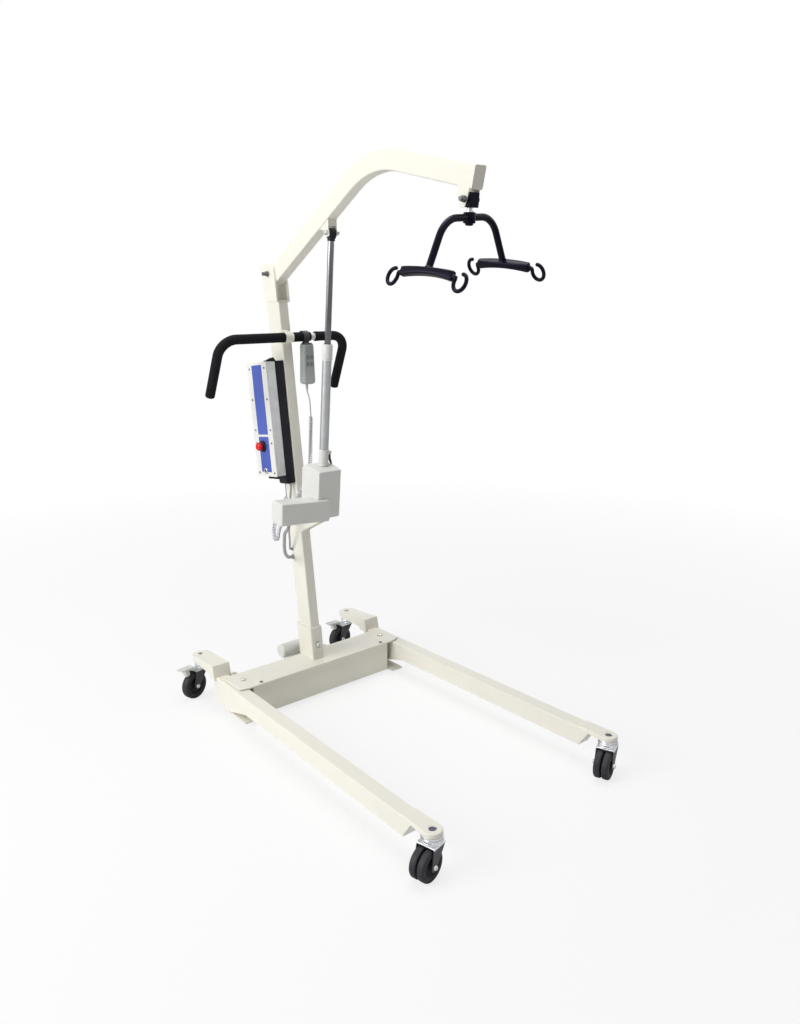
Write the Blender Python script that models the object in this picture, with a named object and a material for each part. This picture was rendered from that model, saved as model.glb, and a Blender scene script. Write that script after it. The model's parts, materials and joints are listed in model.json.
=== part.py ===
import math

import bpy
import bmesh
import numpy
from mathutils import Matrix, Vector

# Bariatric floor hoist: steel base with two spreading legs, a leaning mast, a cranked boom
# and a four-point spreader bar. Lengths in metres, +Z up, forward is -Y.

# Height of the floor in the frame that the pieces are laid out in
FLOOR_Z = 0.030

# General clearances and sheet thicknesses
FIT_GAP = 0.0003
PIN_GAP = 0.0003
OPEN_PIVOT_GAP = 0.0015
SEAM_OVERLAP = 0.0005
TUBE_WALL = 0.003
ROUND_STEPS = 2
BOLT_SIDES = 12

# Base cross member, its plates and the leg pivots
BOX_HALF_LENGTH = 0.300
BOX_HALF_DEPTH = 0.057
BOX_WALL = 0.004
PLATE_THICKNESS = 0.006
BOTTOM_PLATE_Z = 0.044
TOP_PLATE_Z = 0.160
TOP_PLATE_FRONT_Y = -0.069
TOP_PLATE_CORNER_Y = -0.058
TOP_PLATE_CHAMFER = 0.039
TOP_PLATE_EDGE = 0.0455
BOTTOM_TAB_FRONT_Y = -0.085
BOTTOM_TAB_REAR_Y = 0.030
PIVOT_RADIUS = 0.008
PIVOT_WALL_GAP = 0.0005
PIVOT_X = BOX_HALF_LENGTH + PIVOT_RADIUS + PIVOT_WALL_GAP
TOP_PLATE_HALF_LENGTH = PIVOT_X + TOP_PLATE_EDGE
TOP_PLATE_CORNER_X = TOP_PLATE_HALF_LENGTH - TOP_PLATE_CHAMFER
PIVOT_HEAD_RADIUS = 0.0100
PIVOT_HEAD_HEIGHT = 0.006
SMALL_BOLT_INSET = 0.033
SMALL_BOLT_X = BOX_HALF_LENGTH - SMALL_BOLT_INSET
SMALL_BOLT_Y = -0.056
SMALL_BOLT_RADIUS = 0.007
SMALL_BOLT_HEIGHT = 0.004

# Legs, measured across and along the leg from its pivot
LEG_SPREAD = 0.0237
LEG_OFFSET = 0.0335
LEG_WIDTH = 0.050
LEG_EDGE = 0.0024
LEG_TOP_Z = 0.158
LEG_BOTTOM_Z = 0.097
LEG_DEEP_Z = 0.052
LEG_HEEL_Z = 0.068
LEG_CUT_TOP_Y = -1.005
LEG_CUT_BOTTOM_Y = -0.965
LEG_HEEL_Y = 0.075
LEG_STEP_Y = 0.035
LEG_RAMP_Y = -0.120
LEG_REAR_Y = 0.120
LUG_RADIUS = 0.020
LUG_GAP = 0.002
FRONT_CASTER_Y = -1.0563
TONGUE_RADIUS = 0.028
TONGUE_REAR_Y = -0.960
TONGUE_TOP_Z = 0.162
TONGUE_THICKNESS = 0.013
STEM_RECESS_RADIUS = 0.012
STEM_RECESS_DEPTH = 0.006
STEM_HOLE_RADIUS = 0.0065
LINK_PIN_REACH = 0.040
LINK_PIN_RADIUS = 0.004
LINK_EAR_Z = 0.100
LINK_EAR_THICKNESS = 0.010
LINK_EAR_RADIUS = 0.009
LINK_THICKNESS = 0.006
LINK_WIDTH = 0.015

# Raised rear arms that carry the braked casters
ARM_WIDTH = 0.066
ARM_FRONT_LOW_Y = 0.085
ARM_FRONT_TOP_Y = 0.097
ARM_TOP_FRONT_Z = 0.200
ARM_TOP_REAR_Z = 0.186
REAR_CASTER_Y = 0.2513
ARM_ROUND_RADIUS = 0.033
ARM_UNDERSIDE_Z = 0.166
ARM_WALL = 0.004
ARM_HOLLOW_END_Y = 0.215
ARM_SOCKET_Z = 0.178

# Casters
WHEEL_SIDES = 24
WHEEL_BORE_RADIUS = 0.0043
AXLE_RADIUS = 0.004
AXLE_HEAD_RADIUS = 0.007
AXLE_HEAD_HEIGHT = 0.005
FORK_PLATE_THICKNESS = 0.005
FORK_CHEEK_THICKNESS = 0.003
FRONT_WHEEL_RADIUS = 0.0450
FRONT_WHEEL_WIDTH = 0.0235
FRONT_WHEEL_GAP = 0.002
FRONT_SIDE_GAP = 0.0012
FRONT_TRAIL = 0.0275
FRONT_TRAIL_LEFT = math.radians(180.0 + 12.0)
FRONT_TRAIL_RIGHT = math.radians(180.0 + 20.0)
FRONT_PLATE_Z = 0.1235
FRONT_PLATE_LENGTH = 0.052
FRONT_BEARING_RADIUS = 0.0295
REAR_WHEEL_RADIUS = 0.0500
REAR_WHEEL_WIDTH = 0.030
REAR_SIDE_GAP = 0.0015
REAR_TRAIL = 0.044
REAR_TRAIL_LEFT = math.radians(180.0 + 16.0)
REAR_TRAIL_RIGHT = math.radians(180.0 + 5.0)
REAR_PLATE_Z = 0.1360
REAR_PLATE_LENGTH = 0.060
REAR_BEARING_RADIUS = 0.026
PEDAL_PIVOT_X = 0.052
PEDAL_PIVOT_Z = 0.150
PEDAL_PIN_RADIUS = 0.003
PEDAL_WIDTH = 0.028

# Mast, its foot socket and its head fork
MAST_LEAN = math.radians(7.03)
MAST_FRONT_Y = -0.039
MAST_WIDTH = 0.040
MAST_DEPTH = 0.080
MAST_CORNER = 0.005
MAST_TOP_Z = 1.450
FOOT_WALL = 0.006
FOOT_TOP_Z = 0.285
FOOT_BOLT_ALONG = 0.2215
FOOT_BOLT_RADIUS = 0.006
FOOT_NUT_RADIUS = 0.0125
FOOT_NUT_HEIGHT = 0.012
FOOT_WASHER_RADIUS = 0.0125
HEAD_PLATE_THICKNESS = 0.006
HEAD_CHEEK_THICKNESS = 0.0065
HEAD_TOP_Z = 1.578

# Boom, in the plane of symmetry
BOOM_PIVOT = (0.190, 1.544)
BOOM_CORNER = (-0.374, 1.872)
BOOM_REAR_SLOPE = math.radians(31.5)
BOOM_FRONT_SLOPE = math.radians(-13.2)
BOOM_BEND_RADIUS = 0.300
BOOM_REAR_LENGTH = 0.667
BOOM_FRONT_LENGTH = 0.4427
BOOM_WIDTH = 0.040
BOOM_HEIGHT = 0.060
BOOM_PIVOT_RADIUS = 0.0065
BOOM_PIVOT_HEAD = 0.0095
BOOM_BOLT_REACH = 0.048

# Lift actuator, with heights along its own leaning axis from the foot pivot
FOOT_PIVOT = (-0.062, 0.713)
TOP_PIVOT = (-0.1545, 1.666)
ROD_RADIUS = 0.0105
ROD_START = 0.495
ROD_EYE_RADIUS = 0.0135
ROD_EYE_HALF_WIDTH = 0.0105
TUBE_RADIUS = 0.0154
TUBE_BORE_RADIUS = 0.0128
TUBE_START = 0.2525
TUBE_END = 0.5545
LOWER_COLLAR_RADIUS = 0.0168
LOWER_COLLAR_START = 0.1945
UPPER_COLLAR_RADIUS = 0.0176
UPPER_COLLAR_END = 0.6085
GEAR_LEFT_X = -0.053
GEAR_RIGHT_X = 0.039
GEAR_START = 0.017
GEAR_FRONT_END = 0.187
GEAR_REAR_END = 0.1942
GEAR_HALF_DEPTH = 0.052
GEAR_BORE_END = 0.139
MOTOR_END_X = -0.207
MOTOR_INNER_X = -0.012
MOTOR_START = 0.019
MOTOR_HEIGHT = 0.078
MOTOR_DEPTH = 0.065
MOTOR_PROUD = 0.014
MOTOR_TILT = math.radians(4.5)
MOTOR_CORNER = 0.008
FOOT_PIN_RADIUS = 0.005
FOOT_LUG_RADIUS = 0.0115
FOOT_HEAD_RADIUS = 0.0095
FOOT_CHEEK_RADIUS = 0.0125
FOOT_LUG_HALF_WIDTH = 0.012
FOOT_CHEEK_THICKNESS = 0.005
BRACKET_HALF_WIDTH = 0.017
BRACKET_FRONT_Y = -0.1612
BRACKET_WEB_Z = 1.6850
BRACKET_CHEEK_THICKNESS = 0.0038
BRACKET_BOLT_RADIUS = 0.0085
BRACKET_BOLT_HEIGHT = 0.010

# Hanger and four-point spreader, which hang a few degrees out of square as photographed
HANGER_PIVOT = (-0.774, 1.720)
HANG_PITCH = math.radians(5.44)
HANG_ROLL = math.radians(-3.65)
HANG_YAW = math.radians(9.2)
HANGER_HALF_WIDTH = 0.0163
HANGER_HALF_DEPTH = 0.018
HANGER_TOP = 0.0175
HANGER_BOTTOM = -0.020
EAR_THICKNESS = 0.0032
EAR_BOTTOM_Z = 1.700
HANGER_PIN_RADIUS = 0.006
HANGER_BOLT_HEAD = 0.0095
HANGER_BOLT_REACH = 0.038
SWIVEL_RADIUS = 0.006
HUB_RADIUS = 0.0165
HUB_TOP = -0.0315
HUB_BOTTOM = -0.0595
SPREADER_TUBE_RADIUS = 0.0095
SPREADER_TOP = -0.0446
SPREADER_BEND_X = 0.103
SPREADER_BEND_RADIUS = 0.080
HOOK_BAR_X = 0.1685
HOOK_BAR_DROP = 0.1262
HOOK_BAR_HALF_LENGTH = 0.084
HOOK_BAR_WIDTH = 0.026
HOOK_BAR_MIDDLE = 0.0185
HOOK_BAR_END = 0.0265
HOOK_REACH = 0.1104
HOOK_DROP = 0.0198
HOOK_RADIUS_Y = 0.0185
HOOK_RADIUS_Z = 0.0220
HOOK_ROD_RADIUS = 0.0054

# Push handle and grips
HANDLE_Y = 0.100
HANDLE_Z = 1.331
HANDLE_MIDDLE_X = -0.018
HANDLE_CORNER_X = 0.254
HANDLE_END = (0.259, 0.1845, 1.141)
HANDLE_BEND_RADIUS = 0.060
HANDLE_RADIUS = 0.0125
HANDLE_SIDES = 10
GRIP_RADIUS = 0.0165
GRIP_LEFT_X = -0.028
GRIP_INNER_X = 0.006
BAND_START_X = 0.079
BAND_END_X = 0.101
CLAMP_LEFT_X = -0.0265
CLAMP_RIGHT_X = 0.0045

# Control box on the left side of the mast, in the leaning frame of the mast
BOX_PANEL_X = -0.0965
BOX_FRONT_X = -0.0945
BATTERY_OUTER_X = -0.058
BATTERY_INNER_X = -0.0208
CONTROL_DEPTH = 0.129
CONTROL_LOW = 0.8605
CONTROL_HIGH = 1.2605
CONTROL_WALL = 0.0025
BATTERY_LOW = 0.829
BATTERY_PLUG_DEPTH = 0.050
BATTERY_PLUG_HEIGHT = 0.015
STOP_ALONG = 0.9677
STOP_DEPTH = 0.0715
STOP_RADIUS = 0.015
STOP_HEIGHT = 0.016
STOP_TRAVEL_GAP = 0.005
SOCKET_ALONG = 0.880
SOCKET_DEPTH = 0.065

# Handset and its buttons
HANDSET_X = 0.0555
HANDSET_TOP_Z = 1.3105
HANDSET_BOTTOM_Z = 1.167
HANDSET_FRONT_Y = 0.068
HANDSET_REAR_Y = 0.100
HANDSET_TOP_WIDTH = 0.041
HANDSET_BOTTOM_WIDTH = 0.051
BUTTON_SIZE = 0.011
BUTTON_PITCH = 0.017
BUTTON_PROUD = 0.0016
BUTTON_POCKET = 0.005
BUTTON_TOP_Z = 1.262

# Curly handset cord and the two plain cables
CORD_RADIUS = 0.0025
COIL_RADIUS = 0.0052
COIL_TURNS = 42
COIL_POINTS = 8
THICK_CABLE_RADIUS = 0.006
THIN_CABLE_RADIUS = 0.0036
LIFT_CABLE_ENTRY_Z = 0.537
LEG_CABLE_ENTRY_Z = 0.566
END_GAP = 0.0015

# Leg spreading drive behind the mast
DRIVE_Y = 0.100
DRIVE_Z = 0.137
DRIVE_MOTOR_Y = 0.122
DRIVE_MOTOR_Z = 0.166
DRIVE_MOTOR_RADIUS = 0.026
DRIVE_LEFT_X = -0.076
DRIVE_RIGHT_X = 0.060
DRIVE_PIVOT_X = 0.105
DRIVE_TUBE_RADIUS = 0.0125
DRIVE_ROD_RADIUS = 0.005
DRIVE_EYE_RADIUS = 0.0115
CRANK_INBOARD = 0.0185
CRANK_GAP = 0.014
CRANK_THICKNESS = 0.005
CRANK_PIN_RADIUS = 0.004

COLOURS = {
    'cream': (0.90, 0.88, 0.79, 1.0),
    'steel': (0.55, 0.56, 0.58, 1.0),
    'zinc': (0.62, 0.62, 0.60, 1.0),
    'black_steel': (0.03, 0.03, 0.035, 1.0),
    'black_plastic': (0.03, 0.03, 0.03, 1.0),
    'foam': (0.02, 0.02, 0.02, 1.0),
    'pale_plastic': (0.72, 0.72, 0.68, 1.0),
    'grey_plastic': (0.40, 0.42, 0.41, 1.0),
    'aluminium': (0.66, 0.67, 0.69, 1.0),
    'red': (0.70, 0.03, 0.03, 1.0),
    'tyre': (0.05, 0.05, 0.055, 1.0),
    'cable': (0.45, 0.44, 0.46, 1.0),
}
finished = []


def clear_scene():
    for item in list(bpy.data.objects):
        bpy.data.objects.remove(item, do_unlink=True)


def material_named(name):
    material = bpy.data.materials.get(name)
    if material is None:
        material = bpy.data.materials.new(name)
        material.use_nodes = True
        shader = material.node_tree.nodes['Principled BSDF']
        shader.inputs['Base Color'].default_value = COLOURS[name]
        shader.inputs['Roughness'].default_value = 0.45
        material.diffuse_color = COLOURS[name]
    return material


def object_from(mesh_builder, name):
    bmesh.ops.recalc_face_normals(mesh_builder, faces=mesh_builder.faces)
    mesh = bpy.data.meshes.new(name)
    mesh_builder.to_mesh(mesh)
    mesh_builder.free()
    item = bpy.data.objects.new(name, mesh)
    bpy.context.collection.objects.link(item)
    return item


def skin(loops, ring=False):
    """Closed surface through loops of equal length: capped at both ends, or a ring of loops."""
    builder = bmesh.new()
    rows = [[builder.verts.new(point) for point in loop] for loop in loops]
    pairs = list(zip(rows[:-1], rows[1:]))
    if ring:
        pairs.append((rows[-1], rows[0]))
    for first, second in pairs:
        count = len(first)
        for index in range(count):
            following = (index + 1) % count
            builder.faces.new((first[index], first[following], second[following], second[index]))
    if not ring:
        builder.faces.new(list(reversed(rows[0])))
        builder.faces.new(rows[-1])
    return object_from(builder, 'blank')


def combine(base, others, operation):
    """Boolean of the base with each other object, made real, with the others removed."""
    others = list(others)
    for other in others:
        modifier = base.modifiers.new(operation, 'BOOLEAN')
        modifier.operation = operation
        modifier.solver = 'EXACT'
        modifier.object = other
    graph = bpy.context.evaluated_depsgraph_get()
    mesh = bpy.data.meshes.new_from_object(base.evaluated_get(graph))
    base.modifiers.clear()
    base.data = mesh
    for other in others:
        bpy.data.objects.remove(other, do_unlink=True)
    return base


def union(base, others):
    return combine(base, others, 'UNION')


def cut(base, others):
    return combine(base, others, 'DIFFERENCE')


def common(base, others):
    return combine(base, others, 'INTERSECT')


def move(item, matrix):
    item.data.transform(matrix)
    if matrix.determinant() < 0:
        item.data.flip_normals()
    return item


def bevel(item, width, segments=2, angle=50.0):
    builder = bmesh.new()
    builder.from_mesh(item.data)
    limit = math.radians(angle)
    edges = [e for e in builder.edges if e.is_manifold and e.calc_face_angle(0.0) > limit]
    bmesh.ops.bevel(builder, geom=edges, offset=width, segments=segments, profile=0.5,
                    affect='EDGES', clamp_overlap=True)
    builder.to_mesh(item.data)
    builder.free()
    return item


def arc(centre, radius, start, end, steps):
    """Points on a circle between two angles in degrees, both ends included."""
    points = []
    for index in range(steps + 1):
        angle = math.radians(start + (end - start) * index / steps)
        points.append((centre[0] + radius * math.cos(angle), centre[1] + radius * math.sin(angle)))
    return points


def rounded(width, height, radius, steps=ROUND_STEPS):
    """Outline of a rectangle with round corners about the origin."""
    across = width / 2 - radius
    along = height / 2 - radius
    points = []
    for centre, start in (((across, along), 0), ((-across, along), 90),
                          ((-across, -along), 180), ((across, -along), 270)):
        points += arc(centre, radius, start, start + 90, steps)
    return points


def shifted(points, first, second):
    return [(a + first, b + second) for a, b in points]


def prism(outline, low, high, across):
    """Outline pushed along one axis; the outline lies in the other two, in X, Y, Z order."""
    def place(point, level):
        a, b = point
        if across == 'x':
            return (level, a, b)
        if across == 'y':
            return (a, level, b)
        return (a, b, level)
    return skin([[place(p, low) for p in outline], [place(p, high) for p in outline]])


def block(x_low, x_high, y_low, y_high, z_low, z_high):
    outline = [(x_low, y_low), (x_high, y_low), (x_high, y_high), (x_low, y_high)]
    return prism(outline, z_low, z_high, 'z')


def aim(start, direction):
    """Matrix that carries +Z onto a direction and the origin onto a point."""
    turn = Vector((0.0, 0.0, 1.0)).rotation_difference(Vector(direction).normalized())
    return Matrix.Translation(Vector(start)) @ turn.to_matrix().to_4x4()


def lathe(profile, start, direction, sides=BOLT_SIDES, phase=0.0):
    """Turned solid from a closed profile of (radius, height); a zero radius closes on the axis."""
    builder = bmesh.new()
    rows = []
    for radius, height in profile:
        if radius == 0.0:
            rows.append([builder.verts.new((0.0, 0.0, height))])
        else:
            turns = [phase + 2 * math.pi * k / sides for k in range(sides)]
            rows.append([builder.verts.new((radius * math.cos(t), radius * math.sin(t), height)) for t in turns])
    closed = profile[0][0] > 0.0 and profile[-1][0] > 0.0
    pairs = list(zip(rows[:-1], rows[1:]))
    if closed:
        pairs.append((rows[-1], rows[0]))
    for first, second in pairs:
        for k in range(sides):
            after = (k + 1) % sides
            if len(first) == 1 and len(second) == 1:
                continue
            if len(first) == 1:
                builder.faces.new((first[0], second[after], second[k]))
            elif len(second) == 1:
                builder.faces.new((first[k], first[after], second[0]))
            else:
                builder.faces.new((first[k], first[after], second[after], second[k]))
    item = object_from(builder, 'turned')
    return move(item, aim(start, direction))


def rod_between(start, end, radius, sides=BOLT_SIDES):
    direction = Vector(end) - Vector(start)
    length = direction.length
    return lathe([(0.0, 0.0), (radius, 0.0), (radius, length), (0.0, length)], start, direction, sides)


def hex_between(start, end, radius):
    """Six-sided bolt head or nut with its far corners taken off."""
    direction = Vector(end) - Vector(start)
    length = direction.length
    profile = [(0.0, 0.0), (radius, 0.0), (radius, length * 0.82), (radius * 0.86, length), (0.0, length)]
    return lathe(profile, start, direction, 6, 0.21)


def ring_between(start, end, outer, inner, sides=16):
    direction = Vector(end) - Vector(start)
    length = direction.length
    profile = [(inner, 0.0), (outer, 0.0), (outer, length), (inner, length)]
    return lathe(profile, start, direction, sides)


def domed_bolt(start, direction, radius, height):
    profile = [(0.0, 0.0), (radius, 0.0), (radius * 0.80, height * 0.80), (0.0, height)]
    return lathe(profile, start, direction, 10)


def round_path(points, radius, steps=6):
    """Polyline of 3-D points with each inner corner replaced by an arc of one radius."""
    points = [Vector(p) for p in points]
    path = [points[0]]
    for before, corner, after in zip(points[:-2], points[1:-1], points[2:]):
        incoming = (corner - before).normalized()
        outgoing = (after - corner).normalized()
        turn = incoming.angle(outgoing)
        reach = radius * math.tan(turn / 2)
        start = corner - incoming * reach
        inward = (outgoing - incoming * outgoing.dot(incoming)).normalized()
        centre = start + inward * radius
        for index in range(steps + 1):
            angle = turn * index / steps
            path.append(centre - inward * (radius * math.cos(angle)) + incoming * (radius * math.sin(angle)))
    path.append(points[-1])
    return path


def frames_along(path, side):
    """Mitred frames: for each point its side vector, its up vector and the mitre stretch."""
    frames = []
    count = len(path)
    for index, point in enumerate(path):
        incoming = (point - path[index - 1]).normalized() if index > 0 else None
        outgoing = (path[index + 1] - point).normalized() if index < count - 1 else None
        if incoming is None:
            tangent, stretch = outgoing, 1.0
        elif outgoing is None:
            tangent, stretch = incoming, 1.0
        else:
            tangent = (incoming + outgoing).normalized()
            stretch = 1.0 / max(0.3, math.cos(incoming.angle(outgoing) / 2))
        up = tangent.cross(Vector(side)).normalized()
        frames.append((point, Vector(side), up, stretch))
    return frames


def swept_loops(path, section, side):
    loops = []
    for point, across, up, stretch in frames_along(path, side):
        loops.append([point + across * a + up * (b * stretch) for a, b in section])
    return loops


def round_tube(path, radius, sides=12, bore=None):
    """Round bar or open tube along a path, with frames carried along without twist."""
    path = [Vector(p) for p in path]
    tangents = []
    for index in range(len(path)):
        before = path[max(index - 1, 0)]
        after = path[min(index + 1, len(path) - 1)]
        tangents.append((after - before).normalized())
    guide = Vector((1.0, 0.0, 0.0)) if abs(tangents[0].x) < 0.9 else Vector((0.0, 0.0, 1.0))
    across = (guide - tangents[0] * guide.dot(tangents[0])).normalized()
    rows = {radius: []}
    if bore:
        rows[bore] = []
    for index, point in enumerate(path):
        if index > 0:
            turn = tangents[index - 1].rotation_difference(tangents[index])
            across = turn @ across
            across = (across - tangents[index] * across.dot(tangents[index])).normalized()
        up = tangents[index].cross(across)
        for size in rows:
            loop = []
            for k in range(sides):
                angle = 2 * math.pi * k / sides
                loop.append(point + across * (size * math.cos(angle)) + up * (size * math.sin(angle)))
            rows[size].append(loop)
    if bore:
        return skin(rows[radius] + list(reversed(rows[bore])), ring=True)
    return skin(rows[radius])


def smooth_points(knots, count):
    """Even spacing along a smooth curve through knots, by centripetal blending."""
    knots = [Vector(k) for k in knots]
    padded = [knots[0] * 2 - knots[1]] + knots + [knots[-1] * 2 - knots[-2]]
    dense = []
    for index in range(1, len(padded) - 2):
        p0, p1, p2, p3 = padded[index - 1:index + 3]
        for step in range(24):
            t = step / 24
            dense.append(0.5 * ((2 * p1) + (p2 - p0) * t + (2 * p0 - 5 * p1 + 4 * p2 - p3) * t * t
                                + (3 * p1 - p0 - 3 * p2 + p3) * t * t * t))
    dense.append(knots[-1])
    lengths = [0.0]
    for first, second in zip(dense[:-1], dense[1:]):
        lengths.append(lengths[-1] + (second - first).length)
    points = []
    position = 0
    for index in range(count):
        wanted = lengths[-1] * index / (count - 1)
        while position < len(lengths) - 2 and lengths[position + 1] < wanted:
            position += 1
        span = lengths[position + 1] - lengths[position]
        share = (wanted - lengths[position]) / span if span else 0.0
        points.append(dense[position].lerp(dense[position + 1], min(1.0, max(0.0, share))))
    return points, lengths[-1]


def finish(item, name, material, origin=(0.0, 0.0, 0.0)):
    """Name and colour a finished piece, smooth it and put its origin on its own axis."""
    item.name = name
    item.data.name = name
    item.data.materials.clear()
    item.data.materials.append(material_named(material))
    for face in item.data.polygons:
        face.material_index = 0
        face.use_smooth = True
    item.data.set_sharp_from_angle(angle=math.radians(32))
    item.data.transform(Matrix.Translation(-Vector(origin)))
    item.location = Vector(origin)
    finished.append(item)
    return item


def lean():
    """Carries the upright mast frame (x, depth, along) onto the leaning mast."""
    return Matrix.Translation((0.0, MAST_FRONT_Y, 0.0)) @ Matrix.Rotation(-MAST_LEAN, 4, 'X')


def mast_loop(outline, level):
    """Outline of (x, depth) carried onto the leaning mast and cut level at one height."""
    loop = []
    for x, depth in outline:
        along = (level + depth * math.sin(MAST_LEAN)) / math.cos(MAST_LEAN)
        loop.append(Vector((x, MAST_FRONT_Y + depth * math.cos(MAST_LEAN) + along * math.sin(MAST_LEAN),
                            level)))
    return loop


def mast_front(level):
    return MAST_FRONT_Y + level * math.tan(MAST_LEAN)


def build_base():
    inner_low = BOTTOM_PLATE_Z + PLATE_THICKNESS
    top = TOP_PLATE_Z - FIT_GAP
    box = block(-BOX_HALF_LENGTH, BOX_HALF_LENGTH, -BOX_HALF_DEPTH, BOX_HALF_DEPTH,
                inner_low - SEAM_OVERLAP, top)
    hollow = block(-BOX_HALF_LENGTH - 0.01, BOX_HALF_LENGTH + 0.01, -BOX_HALF_DEPTH + BOX_WALL,
                   BOX_HALF_DEPTH - BOX_WALL, inner_low, top - BOX_WALL)
    cut(box, [hollow])
    edge = TOP_PLATE_HALF_LENGTH - 0.002
    tab = BOX_HALF_LENGTH + 0.004
    outline = [(-edge, BOTTOM_TAB_FRONT_Y), (-tab, BOTTOM_TAB_FRONT_Y), (-tab + 0.004, -BOX_HALF_DEPTH),
               (tab - 0.004, -BOX_HALF_DEPTH), (tab, BOTTOM_TAB_FRONT_Y), (edge, BOTTOM_TAB_FRONT_Y),
               (edge, BOTTOM_TAB_REAR_Y), (tab, BOX_HALF_DEPTH), (-tab, BOX_HALF_DEPTH),
               (-edge, BOTTOM_TAB_REAR_Y)]
    floor = prism(outline, BOTTOM_PLATE_Z, inner_low, 'z')
    union(box, [floor])
    holes = [rod_between((side * PIVOT_X, 0, BOTTOM_PLATE_Z - 0.01), (side * PIVOT_X, 0, inner_low + 0.01),
                         PIVOT_RADIUS + PIN_GAP) for side in (-1, 1)]
    cut(box, holes)
    finish(box, 'cross_member', 'cream')

    outline = [(-TOP_PLATE_HALF_LENGTH, TOP_PLATE_CORNER_Y), (-TOP_PLATE_CORNER_X, TOP_PLATE_FRONT_Y),
               (TOP_PLATE_CORNER_X, TOP_PLATE_FRONT_Y), (TOP_PLATE_HALF_LENGTH, TOP_PLATE_CORNER_Y),
               (TOP_PLATE_HALF_LENGTH, BOX_HALF_DEPTH), (-TOP_PLATE_HALF_LENGTH, BOX_HALF_DEPTH)]
    plate_top = TOP_PLATE_Z + PLATE_THICKNESS
    plate = bevel(prism(outline, TOP_PLATE_Z, plate_top, 'z'), 0.0012, 1)
    heads = []
    for side in (-1, 1):
        heads.append(domed_bolt((side * SMALL_BOLT_X, SMALL_BOLT_Y, plate_top - SEAM_OVERLAP), (0, 0, 1),
                                SMALL_BOLT_RADIUS, SMALL_BOLT_HEIGHT))
    union(plate, heads)
    cut(plate, [rod_between((side * PIVOT_X, 0, TOP_PLATE_Z - 0.01), (side * PIVOT_X, 0, plate_top + 0.01),
                            PIVOT_RADIUS + PIN_GAP) for side in (-1, 1)])
    finish(plate, 'base_top_plate', 'cream')

    for side, word in ((-1, 'left'), (1, 'right')):
        seat = plate_top + FIT_GAP
        profile = [(0.0, BOTTOM_PLATE_Z), (PIVOT_RADIUS, BOTTOM_PLATE_Z), (PIVOT_RADIUS, seat),
                   (PIVOT_HEAD_RADIUS, seat), (PIVOT_HEAD_RADIUS, seat + PIVOT_HEAD_HEIGHT * 0.7),
                   (PIVOT_HEAD_RADIUS * 0.8, seat + PIVOT_HEAD_HEIGHT), (0.0, seat + PIVOT_HEAD_HEIGHT)]
        finish(lathe(profile, (side * PIVOT_X, 0, 0), (0, 0, 1)), 'leg_pivot_bolt_' + word, 'black_steel')


def leg_shell():
    """Leg in its own frame: x outward, y rearward, both from the pivot, for the right-hand side."""
    inner = LEG_OFFSET - LEG_WIDTH / 2
    outer = LEG_OFFSET + LEG_WIDTH / 2
    side = [(LEG_CUT_TOP_Y, LEG_TOP_Z), (LEG_CUT_BOTTOM_Y, LEG_BOTTOM_Z), (LEG_RAMP_Y, LEG_BOTTOM_Z),
            (LEG_STEP_Y, LEG_DEEP_Z), (LEG_STEP_Y + 0.002, LEG_HEEL_Z), (LEG_HEEL_Y, LEG_HEEL_Z),
            (LEG_REAR_Y, LEG_TOP_Z)]
    shell = bevel(prism(side, inner, outer, 'x'), LEG_EDGE, 1, 75)
    wall = TUBE_WALL
    inside = [(LEG_CUT_TOP_Y + 0.012, LEG_TOP_Z - wall), (LEG_CUT_BOTTOM_Y + 0.008, LEG_BOTTOM_Z + wall),
              (LEG_RAMP_Y + 0.002, LEG_BOTTOM_Z + wall), (LEG_STEP_Y - 0.004, LEG_DEEP_Z + wall + 0.003),
              (LEG_STEP_Y - 0.002, LEG_HEEL_Z + wall), (LEG_HEEL_Y + 0.010, LEG_HEEL_Z + wall),
              (LEG_HEEL_Y + 0.040, LEG_HEEL_Z + wall), (LEG_REAR_Y + 0.040, LEG_TOP_Z - wall)]
    hollow = prism(inside, inner + wall, outer - wall, 'x')
    cut(shell, [hollow])
    return shell


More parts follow.
